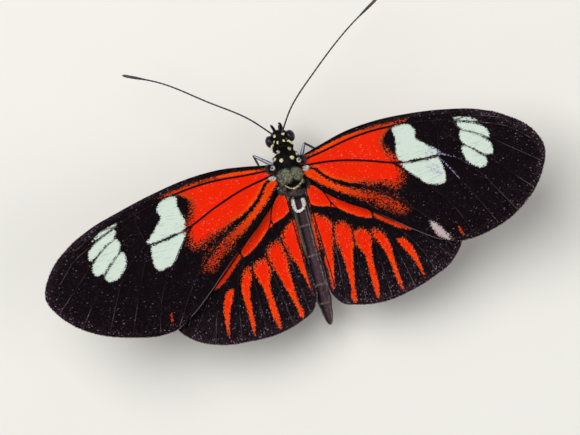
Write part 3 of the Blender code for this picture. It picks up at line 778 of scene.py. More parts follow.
def makeWing(name, wing, plan, fields, sideName, worn):
    # two faces over the plan, raised along the veins, closed round the outline
    flat, triangles = plan[0], plan[1]
    side = sides[sideName]
    ridge = wingShape["veinHeight"] * np.clip(1 - fields["veinNear"] / wingShape["veinHalfWidth"], 0, 1)
    fade = 0.35 + 0.65 * smooth(fields["outerNear"], 0, 6)
    middle = surfaceRise(wing, flat, fields)
    half = wingShape["thickness"] / 2
    top = inSpace(wing, side, flat[:, 0], flat[:, 1], middle + half + ridge * fade)
    under = inSpace(wing, side, flat[:, 0], flat[:, 1], middle - half - ridge * fade * 0.6)
    count = len(flat)
    borders = {(a, b) for face in triangles for a, b in zip(face, face[1:] + face[:1])}
    faces = list(triangles) + [tuple(count + i for i in face[::-1]) for face in triangles]
    for a, b in borders:
        if (b, a) not in borders:
            faces += [(b, a, count + a), (b, count + a, count + b)]
    if side < 0:
        faces = [face[::-1] for face in faces]
    whole = {"rubbed": np.full(count, -5.0), "lilac": np.zeros(count)}
    fields = {**fields, **(wornFields(flat) if worn else whole)}
    attributes = {key: np.concatenate([values, values]) for key, values in fields.items()}
    attributes["upperFace"] = np.concatenate([np.ones(count), np.zeros(count)])
    planUv = np.concatenate([flat, flat]) / wingShape["mapSize"] + (0.1 + 0.5 * (side > 0), 0.5)
    return meshObject(f"{name}_{sideName}_membrane", np.vstack([top, under]), faces, attributes, planUv)


wingPaint = {
    "ground": srgb(8, 4, 7),
    "groundWarm": srgb(15, 8, 11),
    "pale": srgb(44, 31, 37),
    "paleGlint": srgb(136, 120, 134),
    "red": srgb(224, 34, 2),
    "orange": srgb(230, 74, 4),
    "deepRed": srgb(184, 20, 4),
    "white": srgb(198, 211, 197),
    "dust": srgb(128, 44, 20),
    "lilac": srgb(150, 142, 178),
    "veinDark": srgb(8, 11, 20),
    "veinPale": srgb(124, 104, 106),
    "veinGrey": srgb(34, 32, 32),
    "whiteShade": srgb(176, 192, 184),
    "whiteStreak": srgb(120, 128, 124),
    "rubbed": srgb(196, 176, 174),
    "underGround": srgb(66, 48, 40),
    "underRed": srgb(196, 110, 74),
    "underWhite": srgb(226, 220, 190),
    "scalesAcross": 10.0,       # scales to the millimetre, side by side
    "scaleStretch": 0.6,        # how many lie end to end, as a share of that
    "scaleRandomness": 0.85,
    "gloss": 0.02,
    "relief": 0.35,
    # how far each kind of scale hides what is under it
    "cover": {
        "pale": 0.72, "rearLine": 0.7, "deepRed": 0.55, "whiteInRed": 0.2, "browned": 0.5, "dust": 0.65,
        "whiteShade": 0.3, "whiteStreak": 0.28, "rubbed": 0.85, "lilac": 0.75, "veinGrey": 0.8,
    },
    # how unevenly, scale by scale and cloud by cloud, the markings end
    "uneven": {"red": 1.5, "redCloud": 0.8, "white": 1.6, "redOverWhite": 1.7, "rubbed": 0.5},
    "streaks": (25.0, 190.0),   # how close they lie out along the wing and across it
    "darkVein": (0.13, 0.06),   # half width of the dark line over the red, on the forewing and hindwing
    "thinVein": (0.04, 0.09),   # the line over the white fades between these distances
}


def wingFinish(name, hind):
    paint = wingPaint
    cover, uneven = paint["cover"], paint["uneven"]
    finish = Finish(name, 0.5, paint["gloss"])
    rise, mix = finish.rise, finish.mix
    plan = finish.node("ShaderNodeUVMap", {"uv_map": "wingPlan"})
    size = wingShape["mapSize"]
    density = size * paint["scalesAcross"]
    across = density * paint["scaleStretch"]
    scales = finish.scaled(plan, (density, across, 1.0) if hind else (across, density, 1.0))
    cell = finish.cells(scales, 1.0, paint["scaleRandomness"], out=1)
    grainA, grainB, grainC = (
        finish.node("ShaderNodeSeparateColor", {"mode": "RGB"}, {0: cell}, out) for out in range(3)
    )
    perMillimetre = finish.scaled(plan, (size, size, 1.0))
    cloud = finish.noise(perMillimetre, 0.55, 4.0)
    red, deep, white, vein, outer, outerPlace, front, frontPlace, rear, rootFar, upper, rubbed, lilac = map(
        finish.attribute,
        (
            "redField", "redDeep", "whiteField", "veinNear", "outerNear", "outerPlace", "frontNear",
            "frontPlace", "rearNear", "rootFar", "upperFace", "rubbed", "lilac",
        ),
    )
    # dark ground, with pale scales scattered more thickly towards the margins
    if hind:
        pale = 0.04 + 0.3 * (1 - rise(outer, 1.0, 9.0)) + 0.4 * (1 - rise(outer, 0.1, 1.4))
    else:
        tip = 1 - rise(outerPlace, 0.25, 0.75)
        pale = 0.05 + (0.2 + 0.35 * tip) * (1 - rise(outer, 0.1, 1.6))
        pale = pale + 0.45 * rise(frontPlace, 0.2, 0.7) * (1 - rise(front, 0.2, 1.0))
        pale = pale + 0.08 * (1 - rise(outer, 1.0, 9.0))
    share = rise(pale + 0.4 * (cloud - 0.5) - grainA, -0.12, 0.12)
    ground = mix(grainB, paint["ground"], paint["groundWarm"])
    # the pale scales are the wing's own dusting; the brightest of them are painted glints of light
    paleTone = mix(rise(grainC, 0.88, 0.99), paint["pale"], paint["paleGlint"])
    ground = mix(share * cover["pale"], ground, paleTone)
    # veins: pale over the dark ground, broken up, and plainest near the margins
    line = 1 - rise(vein + 0.05 * grainB, 0.03, 0.1)
    broken = rise(finish.noise(perMillimetre, 0.35), 0.38, 0.6)
    nearMargin = 0.08 + 0.36 * (1 - rise(outer, 1.0, 7.0))
    line = line * (0.2 + 0.8 * broken) * rise(rootFar, 7.0, 14.0) * nearMargin
    ground = mix(line, ground, paint["veinPale"])
    if not hind:
        rearLine = (1 - rise(rear, 0.05, 0.16)) * rise(rootFar, 13.0, 19.0)
        ground = mix(rearLine * cover["rearLine"], ground, paint["veinPale"])
    # red with dusted edges, more orange towards its edges and the front of the wing
    warm = rise(deep + 0.7 * (cloud - 0.5) + 0.35 * (grainB - 0.5), -0.1, 0.5 if hind else 0.8)
    if not hind:
        warm = warm * (0.45 + 0.55 * rise(front + 0.6 * cloud, 0.6, 2.2))
    redTone = mix(warm, paint["orange"], paint["red"])
    redTone = mix(rise(grainC, 0.78, 1.0) * cover["deepRed"], redTone, paint["deepRed"])
    redTone = mix(rise(grainA, 0.965, 1.0) * cover["whiteInRed"], redTone, paint["white"])
    if not hind:
        browned = cover["browned"] * rise(rootFar, 5.0, 12.0)
        browned = browned * (1 - rise(deep + 0.5 * (cloud - 0.5), 0.2, 1.1))
        redTone = mix(browned, redTone, paint["dust"])
    redTone = mix((1 - rise(deep, -0.7, 0.15)) * cover["dust"], redTone, paint["dust"])
    redEdge = red + uneven["red"] * (grainA - 0.5) + uneven["redCloud"] * (cloud - 0.5)
    redShare = rise(redEdge, -0.12, 0.12)
    colour = mix(redShare, ground, redTone)
    # white, with faint streaks, and red where the two meet
    streak = finish.noise(finish.scaled(plan, (*paint["streaks"], 1.0)), 1.0)
    whiteTone = mix(grainC * cover["whiteShade"], paint["white"], paint["whiteShade"])
    whiteTone = mix(rise(streak, 0.56, 0.66) * cover["whiteStreak"], whiteTone, paint["whiteStreak"])
    whiteTone = mix(rise(red + uneven["redOverWhite"] * (grainB - 0.5), 0.1, 0.25), whiteTone, redTone)
    whiteShare = rise(white + uneven["white"] * (grainA - 0.5), -0.5, 0.5)
    colour = mix(whiteShare, colour, whiteTone)
    # wear
    bare = rise(rubbed + uneven["rubbed"] * (grainA - 0.5), -0.1, 0.1)
    colour = mix(bare * cover["rubbed"], colour, paint["rubbed"])
    colour = mix(rise(lilac - grainB, 0.0, 0.12) * cover["lilac"], colour, paint["lilac"])
    # veins: blue-black over the red, thin and grey over the white
    half = paint["darkVein"][hind]
    darkLine = 1 - rise(vein + 0.06 * (grainB - 0.5), half, half + 0.07)
    colour = mix(darkLine * redShare * (1 - whiteShare), colour, paint["veinDark"])
    thinLine = 1 - rise(vein, *paint["thinVein"])
    colour = mix(thinLine * whiteShare * cover["veinGrey"], colour, paint["veinGrey"])
    # underside: the same markings, paler and browner
    underTone = mix(share * 0.5, paint["underGround"], paint["pale"])
    underTone = mix(redShare * (0.35 if hind else 0.75), underTone, paint["underRed"])
    underTone = mix(whiteShare, underTone, paint["underWhite"])
    underTone = mix(darkLine * 0.6, underTone, paint["ground"])
    finish.colour(mix(upper, underTone, colour))
    finish.roughness(0.5 + 0.25 * grainB)
    edges = finish.cells(scales, 1.0, paint["scaleRandomness"], out=0)
    finish.bump(edges, paint["relief"], 0.00003)
    return finish.material


wingPlans = {}
for wingName, wing in (("forewing", forewing), ("hindwing", hindwing)):
    material = wingFinish(f"{wingName}_scales", wingName == "hindwing")
    for sideName in sides:
        plan = wingPlan(wing, sideName)
        fields = wingFields(wing, sideName, plan[0], *plan[2:])
        wingPlans[wingName, sideName] = plan
        rubbedSide = wingName == "forewing" and sideName == "right"
        piece = makeWing(wingName, wing, plan, fields, sideName, rubbedSide)
        finishPiece(piece, "wing_scales", material, f"{wingName}_{sideName}")
    print(wingName, "membranes", len(plan[1]) * 2, "triangles each")


# Body. One skin from the front of the head to the tip of the abdomen, drawn as rings that face forwards.

bodyShape = {
    "headMiddle": (5.8, 9.35),           # along the body, and above the floor
    "headHalf": (1.32, 1.08, 1.18),      # half width, half length, half height
    "eyeHalf": (0.76, 0.97, 1.07),
    "eyeOffset": (1.64, -0.32, -0.05),
    "neckHalf": 1.05,
    "collar": (3.95, 0.62, 1.6),         # middle, half length, half width
    "thorax": (thoraxMiddle, 3.725),     # middle, half length
    "thoraxHalf": (2.5, 2.55),
    "thoraxInset": 0.26,                 # how far inside the solid the skin lies, to leave room for hair
    "abdomenStart": -4.3,
    "abdomenLength": 20.0,
    "abdomenInset": 0.07,
    "segments": 8,
    "groove": 0.07,                      # depth between the segments, as a share of the width
    "ringStep": 0.09,
    "ringPoints": 72,
    "thoraxBluntness": (3.2, 2.4),       # of its front and its rear
    # half widths along the abdomen, from its root to its tip
    "abdomenStations": (0.0, 0.06, 0.3, 0.45, 0.66, 0.8, 0.92, 0.97, 1.0),
    "abdomenHalves": (0.85, 1.08, 1.0, 1.02, 1.26, 1.2, 0.83, 0.58, 0.34),
    # heights of its middle line, which also swings to the left
    "abdomenFalls": ((0.0, 0.2, 0.5, 0.8, 1.0), (8.85, 8.6, 7.8, 6.75, 6.0)),
    "abdomenSwing": (-0.95, 1.2),
    "frontRises": ((-4.3, 3.4, 4.1, 5.8), (8.85, 8.95, 9.15, 9.35)),
    # how far aside the middle of the markings lies, along the body
    "crestAside": ((-6.3, -4.3, -2.7, -1.0, 2.0, 3.6, 4.9), (-0.03, 0.0, 0.48, 0.47, 0.33, 0.15, 0.1)),
}


def thoraxShare(y):
    # width at y as a share of the widest, blunter in front than behind
    middle, half = bodyShape["thorax"]
    t = np.clip(abs(y - middle) / half, 0, 1)
    bluntness = np.where(y > middle, *bodyShape["thoraxBluntness"])
    return (1 - t ** bluntness) ** (1 / bluntness)


def crestAside(y):
    # the thorax is turned a little, so the middle of its markings lies to the right of the body's
    return np.interp(y, *bodyShape["crestAside"])


def abdomenShare(y):
    # how far along the abdomen, from 0 at its root to 1 at its tip
    return np.clip((bodyShape["abdomenStart"] - y) / bodyShape["abdomenLength"], 0, 1)


def bodyMiddle(y):
    # the middle line of the body: sideways sway and height
    share = abdomenShare(y)
    height = np.interp(share, *bodyShape["abdomenFalls"])
    ahead = np.interp(y, *bodyShape["frontRises"])
    reach, power = bodyShape["abdomenSwing"]
    return reach * share ** power, np.where(y < bodyShape["abdomenStart"], height, ahead)


def bodyHalf(y):
    # half width and half height of the skin at y
    headY = bodyShape["headMiddle"][0]
    wide, long, high = bodyShape["headHalf"]
    headShare = np.sqrt(np.clip(1 - ((y - headY) / long) ** 2, 0, 1))
    collarY, collarLong, collarWide = bodyShape["collar"]
    collarShare = np.sqrt(np.clip(1 - ((y - collarY) / collarLong) ** 2, 0, 1)) * collarWide
    share = thoraxShare(y)
    inset = bodyShape["thoraxInset"] * smooth(share, 0, 0.5)
    thoraxWide, thoraxHigh = (np.clip(half * share - inset, 0, None) for half in bodyShape["thoraxHalf"])
    core = np.where((y < headY) & (y > -5.2), bodyShape["neckHalf"], 0)
    along = abdomenShare(y)
    segment = (along * bodyShape["segments"]) % 1
    cut = np.exp(-(np.minimum(segment, 1 - segment) / 0.05) ** 2) * smooth(along, 0.02, 0.1)
    tail = np.interp(along, bodyShape["abdomenStations"], bodyShape["abdomenHalves"])
    tail = (tail - bodyShape["abdomenInset"]) * (1 - bodyShape["groove"] * cut)
    tail = np.where(y <= bodyShape["abdomenStart"] + 0.2, tail, 0)
    tail = tail * (1 + 0.05 * np.sin(segment * math.pi) * smooth(along, 0.02, 0.1))
    waist = smooth(bodyShape["abdomenStart"] + 0.35 - y, 0, 0.9)
    tail = tail * (0.55 + 0.45 * waist)
    wideAll = np.max([headShare * wide, collarShare, thoraxWide, core, tail], axis=0)
    highAll = np.max([headShare * high, collarShare * 1.04, thoraxHigh, core * 1.1, tail * 1.1], axis=0)
    return wideAll, highAll


def makeBodyRings():
    front = bodyShape["headMiddle"][0] + bodyShape["headHalf"][1]
    rear = bodyShape["abdomenStart"] - bodyShape["abdomenLength"]
    count = round((front - rear) / bodyShape["ringStep"])
    ends = 0.5 - 0.5 * np.cos(np.linspace(0, math.pi, 13)[1:-1])
    y = np.unique(np.concatenate([
        np.linspace(rear + 0.03, front - 0.02, count), front - 0.02 - ends * 0.2, rear + 0.03 + ends * 0.2,
    ]))
    wide, high = bodyHalf(y)
    kernel = np.array([1, 2, 3, 2, 1]) / 9
    for widths in (wide, high):
        widths[3:-3] = np.convolve(widths, kernel, "same")[3:-3]
    sway, height = bodyMiddle(y)
    turns = 2 * math.pi * np.arange(bodyShape["ringPoints"]) / bodyShape["ringPoints"]
    x, up = np.sin(turns), np.cos(turns)
    rings = []
    for i, at in enumerate(y):
        # a crease along the back of the thorax, the raised plate behind it and the groove between them
        onThorax = math.exp(-((at + 0.2) / 2.6) ** 4)
        arch = at + 3.0 - 0.75 * np.abs(x) ** 1.5
        swell = -0.05 * onThorax * np.exp(-(x / 0.14) ** 2) * (up > 0)
        swell = swell + 0.07 * np.exp(-(arch / 0.32) ** 2) * (up > 0)
        swell = swell - 0.05 * np.exp(-((arch - 0.62) / 0.16) ** 2) * (up > 0)
        across = sway[i] + wide[i] * x * (1 + swell)
        rings.append(np.stack([across, np.full(len(x), at), height[i] + high[i] * up * (1 + swell)], 1))
    return rings


palp = {
    "path": ((0.4, 6.2, 8.75), (0.62, 7.35, 8.85), (0.68, 7.72, 9.9), (0.61, 7.6, 11.0)),
    "radii": (0.24, 0.23, 0.16, 0.04),
}


# behind each eye, and where the collar meets each wing: path and radii on the right
bodyKnobs = (
    (((0.5, 4.85, 9.4), (1.1, 4.75, 9.5), (1.55, 4.45, 9.4)), (0.4, 0.42, 0.34)),
    (((1.2, 2.4, 9.5), (1.6, 2.5, 9.6), (1.95, 2.45, 9.5)), (0.4, 0.4, 0.32)),
)


def rodRings(path, radii, around, step):
    # rings for a rod with rounded ends; radii are spread evenly over its controls
    line = spline(path, step)
    shares = np.linspace(0, 1, len(line))
    widths = np.interp(shares, np.linspace(0, 1, len(radii)), radii)
    reach = lengthAlong(line)
    fromEnds = np.minimum(reach, reach[-1] - reach)
    caps = np.clip(1 - fromEnds / np.maximum(widths, 1e-6), 0, 1)
    return tubeRings(line, np.maximum(widths * np.sqrt(1 - caps ** 2), 0.02), around)


def rodPiece(path, radii, around=12, step=0.12):
    points, faces = ringSkin(rodRings(path, radii, around, step))
    return points, facingOut(points, faces)


def settle(made):
    # the object's modifiers become part of its mesh
    settled = bpy.data.meshes.new_from_object(made.evaluated_get(bpy.context.evaluated_depsgraph_get()))
    made.modifiers.clear()
    made.data = settled


def uniteShells(name, shells):
    # one closed surface out of several that overlap
    whole = meshObject(name, *shells[0])
    for number, shell in enumerate(shells[1:]):
        other = meshObject(f"{name}_{number}", *shell)
        joined = whole.modifiers.new("join", "BOOLEAN")
        joined.operation = "UNION"
        joined.solver = "EXACT"
        joined.object = other
        settle(whole)
        bpy.data.objects.remove(other)
    whole.data.shade_smooth()
    return whole


def meshPoints(mesh):
    # back to mm of the body's measure
    flat = np.empty(len(mesh.vertices) * 3)
    mesh.vertices.foreach_get("co", flat)
    return flat.reshape(-1, 3) / mm - bodyShift


bodyMarks = {
    "black": srgb(15, 12, 15),
    "brown": srgb(46, 34, 36),
    "flank": srgb(86, 62, 72),
    "olive": srgb(150, 152, 128),
    "paleYellow": srgb(246, 240, 184),
    "cream": srgb(222, 218, 196),
    "white": srgb(255, 255, 250),
    "rearHair": srgb(132, 120, 116),
    "ringTone": srgb(150, 140, 132),
    "belly": srgb(178, 164, 132),
    # pairs of dots: distance from the middle line, place along the body, radius
    "dots": (
        (0.66, 6.02, 0.17), (0.98, 5.27, 0.1), (0.48, 4.93, 0.14), (0.85, 3.5, 0.2), (1.8, 2.5, 0.22),
        (0.81, 1.94, 0.24),
    ),
    # place across and along, half width, half length
    "olivePatches": ((-1.1, -0.6, 1.06, 1.12), (0.74, -0.65, 0.7, 1.05)),
    "crescent": (
        (-1.5, -2.0), (-1.15, -2.4), (-0.47, -2.82), (0.1, -2.78), (0.6, -2.5), (1.0, -2.14), (1.3, -1.7),
    ),
    "horseshoe": (
        (-0.66, -4.3), (-0.76, -5.1), (-0.62, -6.0), (-0.24, -6.35), (0.36, -6.2), (0.78, -5.6),
        (0.84, -4.6),
    ),
    "rings": (-8.7, -13.5, -18.1, -21.0),      # pale edges of segments, along the body
}


def bodyTone(points):
    # the colour of skin and hair alike at each point
    x, y, z = points.T
    sway, height = bodyMiddle(y)
    aside = crestAside(y)
    across = np.abs(x - sway - aside)
    wide, _ = bodyHalf(y)
    above = z > height
    tone = np.tile(bodyMarks["black"], (len(points), 1))

    def lay(name, share):
        nonlocal tone
        share = np.clip(share, 0, 1)[:, None]
        tone = tone * (1 - share) + np.array(bodyMarks[name]) * share

    behind = smooth(-y, 4.2, 4.9)
    sideways = (x - sway) / np.maximum(wide, 0.1)
    # abdomen: black on the left, browner to the right, which is painted shade on the left and painted light
    # on the right, with a flecked pale line along each side
    lay("brown", 0.5 * behind * smooth(-y, 5.6, 8.0) * smooth(sideways, -0.5, 0.2))
    # the flank tone on the right half is painted light; near the far left edge it is the flank's own colour
    paintedLitRightAndFlank = smooth(sideways, -0.5, 0.2) + 0.7 * smooth(-sideways, 0.6, 0.9)
    lay("flank", behind * np.clip(paintedLitRightAndFlank, 0, 1) * (0.45 + 0.4 * smooth(-y, 6.0, 13.0)))
    flecks = 0.5 + 0.5 * np.sin(9 * y + 2.5 * np.sin(4 * y)) * smooth(-y, 9.0, 15.0)
    lay("cream", 0.5 * flecks * behind * np.exp(-((np.abs(sideways) - 0.8) / 0.07) ** 2) * above)
    lay("belly", behind * smooth((height - z) / np.maximum(wide, 0.1), 0.35, 0.75))
    # thorax: grey hair at its rear corners, two olive patches
    onThorax = smooth(y, -4.2, -3.4) * (1 - smooth(y, 2.6, 3.4))
    lay("rearHair", onThorax * smooth(across, 1.3, 2.0) * (1 - smooth(y, -0.6, 1.2)) * 0.8)
    lay("rearHair", onThorax * (1 - smooth(y, -3.3, -2.8)) * 0.75)
    for out, at, halfWide, halfLong in bodyMarks["olivePatches"]:
        patch = np.cbrt(np.abs((x - sway - aside - out) / halfWide) ** 3 + np.abs((y - at) / halfLong) ** 3)
        lay("olive", above * (1 - smooth(patch, 0.85, 1.08)))
    for out, at, radius in bodyMarks["dots"]:
        away = np.hypot(across - out, y - at)
        lay("paleYellow", above * (1 - smooth(away, radius * 0.8, radius * 1.15)))
    flat = points[:, :2] - np.stack([aside, 0 * aside], 1)
    away, _ = lineDistance(flat, np.array(bodyMarks["crescent"]))
    lay("paleYellow", above * (1 - smooth(away, 0.03, 0.07)))
    away, _ = lineDistance(flat, np.array(bodyMarks["horseshoe"]))
    lay("white", above * (1 - smooth(away / (0.1 + 0.12 * smooth(y, -6.2, -5.2)), 0.8, 1.4)))
    for at in bodyMarks["rings"]:
        lay("ringTone", 0.7 * (1 - smooth(np.abs(y - at), 0.04, 0.1)))
    return tone


def bodyUnwrap(points):
    # round the body and along it, both from 0 to 1
    sway, height = bodyMiddle(points[:, 1])
    turn = np.arctan2(points[:, 0] - sway, points[:, 2] - height) / (2 * math.pi) + 0.5
    return np.stack([turn, (points[:, 1] + 25) / 34], 1)


speckScale = {"skin": 9000.0, "hair": 5200.0, "tongue": 7000.0, "eyeCloud": 1500.0, "eyeCells": 22000.0}


def bodyFinish():
    finish = Finish("body_skin", 0.6, 0.1)
    speck = finish.noise(finish.surfacePlace(), speckScale["skin"], 3.0, 0.6)
    tone = finish.attribute("hairColour", out=0)
    finish.colour(finish.shaded(finish.rise(speck, 0.35, 0.7) * 0.5, tone, (0.45, 0.42, 0.42)))
    finish.bump(speck, 0.5, 0.00005)
    return finish.material


points, faces = ringSkin(makeBodyRings())
shells = [(points, facingOut(points, faces))]
for side in sides.values():
    points, faces = rodPiece(palp["path"], palp["radii"], 20)
    points = onSide(side, points)
    shells.append((points, facingOut(points, faces)))
    for path, radii in bodyKnobs:
        shells.append(rodPiece(onSide(side, path), radii, 18))
bodySkin = uniteShells("body_skin", shells)
storeVectors(bodySkin.data, "hairColour", bodyTone(meshPoints(bodySkin.data)))
covered = ("head", "prothorax", "thorax", "abdomen", "palp_left", "palp_right")
finishPiece(bodySkin, "body_hair", bodyFinish(), *covered)
print("body skin", len(bodySkin.data.polygons), "faces")


# Hair and scales, planted as small solids with one board of geometry nodes

def strandShape(name, strands, spread, bend, width):
    # one tuft, 1 long, growing along +Y and lying with +Z outwards: strands that spread and bend down
    points, faces, local = [], [], []
    for number in range(strands):
        turn = 2 * math.pi * number / strands
        base = np.array((math.cos(turn), 0.0, math.sin(turn))) * spread * 0.3
        lean = np.array((math.cos(turn) * spread, 1.0, math.sin(turn) * spread * 0.5))
        first = len(points)
        for t, size in ((0.0, 0.75), (0.45, 1.0)):
            middle = base + lean * t + (0, 0, -bend * t * t)
            for corner in range(3):
                angle = 2 * math.pi * corner / 3 + math.pi / 2
                ring = (math.cos(angle) * width * size, 0, math.sin(angle) * width * size)
                points.append(tuple(middle + ring))
                local.append((corner / 3, t))
        points.append(tuple(base + lean + (0, 0, -bend)))
        local.append((0.5, 1.0))
        faces.append((first, first + 2, first + 1))
        for corner in range(3):
            a, b = first + corner, first + (corner + 1) % 3
            faces.append((a, b, b + 3, a + 3))
            faces.append((a + 3, b + 3, first + 6))
    return pieceShape(name, points, faces, local)


def scaleShape(name):
    # one flat scale, 1 long, growing along +Y: narrow root, broad and rounded end
    half = ((0.32, 0.3), (0.46, 0.75), (0.3, 0.96))
    outline = ((0.0, 0.0), *half, *((-x, y) for x, y in half[::-1]))
    points, faces, local = [], [], []
    for level in (0.04, -0.04):
        for x, y in outline:
            points.append((x, y, level + 0.1 * y - 0.12 * y * y))
            local.append((x + 0.5, y))
    count = len(outline)
    faces.append(tuple(range(count)))
    faces.append(tuple(range(count, 2 * count))[::-1])
    for i in range(count):
        j = (i + 1) % count
        faces.append((i, i + count, j + count, j))
    return pieceShape(name, points, faces, local)


def pieceShape(name, points, faces, local):
    mesh = bpy.data.meshes.new(name)
    mesh.from_pydata(points, [], facingOut(points, faces))
    storeVectors(mesh, "tuftUv", [(u, v, 0) for u, v in local])
    mesh.shade_smooth()
    return linked(name, mesh)


rootKeys = ("lieAlong", "lieUp", "tuftSize", "rootUv", "tuftUv")
tuftPatch = 0.003                      # side of a tuft's own patch of the map


def plantingBoard():
    # plants one tuft at every root, turned and sized as the root says, with its own patch of the map
    tree = bpy.data.node_groups.new("plantTufts", "GeometryNodeTree")
    for name, flow, kind in (
        ("Roots", "INPUT", "NodeSocketGeometry"), ("Tuft", "INPUT", "NodeSocketObject"),
        ("Finish", "INPUT", "NodeSocketMaterial"), ("Coat", "OUTPUT", "NodeSocketGeometry"),
    ):
        tree.interface.new_socket(name, in_out=flow, socket_type=kind)
    board = Board(tree)
    vector = {"data_type": "FLOAT_VECTOR"}
    start = tree.nodes.new("NodeGroupInput")
    gate = {socket.name: Wire(board, socket) for socket in start.outputs if socket.name}
    named = {
        key: board.node("GeometryNodeInputNamedAttribute", vector, {"Name": key})
        for key in rootKeys
    }
    tuft = board.node("GeometryNodeObjectInfo", None, {"Object": gate["Tuft"]}, out=4)
    turned = board.node(
        "FunctionNodeAxesToRotation", {"primary_axis": "Y", "secondary_axis": "Z"},
        {"Primary Axis": named["lieAlong"], "Secondary Axis": named["lieUp"]},
    )
    planted = board.node(
        "GeometryNodeInstanceOnPoints", None,
        {"Points": gate["Roots"], "Instance": tuft, "Rotation": turned, "Scale": named["tuftSize"]},
    )
    real = board.node("GeometryNodeRealizeInstances", None, {0: planted})
    scale = {"operation": "SCALE"}
    local = board.node("ShaderNodeVectorMath", scale, {0: named["tuftUv"], "Scale": tuftPatch})
    patch = board.node("ShaderNodeVectorMath", {"operation": "ADD"}, {0: named["rootUv"], 1: local})
    mapped = board.node(
        "GeometryNodeStoreNamedAttribute", {"data_type": "FLOAT2", "domain": "CORNER"},
        {"Geometry": real, "Name": "OFBake", "Value": patch},
    )
    painted = board.node("GeometryNodeSetMaterial", None, {"Geometry": mapped, "Material": gate["Finish"]})
    end = tree.nodes.new("NodeGroupOutput")
    board.feed(end.inputs[0], painted)
    return tree


planting = plantingBoard()


def plantTufts(name, tuft, material, roots):
    # roots: place, along, up, width, length, uv and tone of every tuft, in the body's measure
    mesh = bpy.data.meshes.new(name + "_roots")
    placed = (roots["place"] + bodyShift) * mm
    mesh.from_pydata([tuple(p) for p in placed], [], [])
    for key, values in (
        ("lieAlong", roots["along"]),
        ("lieUp", roots["up"]),
        ("tuftSize", np.stack([roots["width"], roots["length"], roots["width"]], 1) * mm),
        ("rootUv", np.concatenate([roots["uv"], np.zeros((len(placed), 1))], 1)),
        ("hairColour", roots["tone"]),
    ):
        storeVectors(mesh, key, values)
    holder = linked(name, mesh)
    modifier = holder.modifiers.new("plant", "NODES")
    modifier.node_group = planting
    for item in planting.interface.items_tree:
        if item.name in ("Tuft", "Finish"):
            modifier[item.identifier] = tuft if item.name == "Tuft" else material
    settle(holder)
    for key in rootKeys:
        if key in holder.data.attributes:
            holder.data.attributes.remove(holder.data.attributes[key])
    return holder


def rootsOn(mesh, count, weight, seed):
    # evenly spread places on a surface, with their outward directions, thicker where the weight is more
    mesh.calc_loop_triangles()
    corners = np.empty(len(mesh.loop_triangles) * 3, np.int32)
    mesh.loop_triangles.foreach_get("vertices", corners)
    points = meshPoints(mesh)[corners.reshape(-1, 3)]
    cross = np.cross(points[:, 1] - points[:, 0], points[:, 2] - points[:, 0])
    area = np.linalg.norm(cross, axis=1)
    middles = points.mean(axis=1)
    weights = area * weight(middles, cross / np.maximum(area, 1e-12)[:, None])
    order = np.lexsort((np.round(middles[:, 0], 1), np.round(middles[:, 1], 1)))
    sums = np.cumsum(weights[order])
    rng = np.random.default_rng(seed)
    picks = order[np.searchsorted(sums, (np.arange(count) + rng.random(count)) / count * sums[-1])]
    a, b = rng.random((2, count))
    turned = a + b > 1
    a[turned], b[turned] = 1 - a[turned], 1 - b[turned]
    first, second, third = points[picks].swapaxes(0, 1)
    place = first + a[:, None] * (second - first) + b[:, None] * (third - first)
    return place, cross[picks] / area[picks][:, None], rng


def unit(vectors):
    return vectors / np.maximum(np.linalg.norm(vectors, axis=1), 1e-9)[:, None]


def lying(normal, lie, lift):
    # directions along a surface, raised from it by an angle at each root
    flat = unit(lie - (lie * normal).sum(1)[:, None] * normal)
    return unit(flat * np.cos(lift)[:, None] + normal * np.sin(lift)[:, None])


def hairFinish(name, roughness, gloss):
    finish = Finish(name, roughness, gloss)
    speck = finish.noise(finish.surfacePlace(), speckScale["hair"])
    tone = finish.attribute("hairColour", out=0)
    finish.colour(finish.shaded(finish.rise(speck, 0.4, 0.65), tone, (0.5, 0.46, 0.44)))
    return finish.material


hair = {
    "count": 6400,
    "strands": 3,
    "spread": 0.28,                    # these three as shares of a tuft's length
    "bend": 0.12,
    "width": 0.035,
    "length": (0.3, 0.34, 0.56),       # on the head, on the front of the thorax and behind it
    "lift": math.radians(32),
    "liftSpread": 0.16,
    "lieSpread": 0.18,
    "headLift": 0.35,                  # added on the head, in radians
    "headDensity": 1.5,
    "palpLength": 0.65,                # of the head's
    "rootDepth": 0.03,
    "toneRange": (0.12, 2.5),          # the darkest tuft, and what the palest adds to it
    "abdomenCount": 9500,
    "abdomenLength": 0.21,
    "seed": 11,
}


def eyeCentre(side):
    headY, headZ = bodyShape["headMiddle"]
    offX, offY, offZ = bodyShape["eyeOffset"]
    return side * offX, headY + offY, headZ + offZ


def hairWeight(points, normals):
    # ahead of the abdomen, thicker on the head, and none under the eyes
    y = points[:, 1]
    weight = np.where(y > -4.3, 1.0, 0.0) * np.where(y > 3.4, hair["headDensity"], 1.0)
    for side in sides.values():
        apart = (points - eyeCentre(side)) / np.array(bodyShape["eyeHalf"])
        weight = weight * (np.linalg.norm(apart, axis=1) >= 1.02)
    return weight


def abdomenWeight(points, normals):
    # behind the thorax
    return np.where(points[:, 1] < -4.1, 1.0, 0.0)


def capWeight(points, normals):
    # anywhere but underneath
    return np.where(normals[:, 2] > -0.2, 1.0, 0.0)


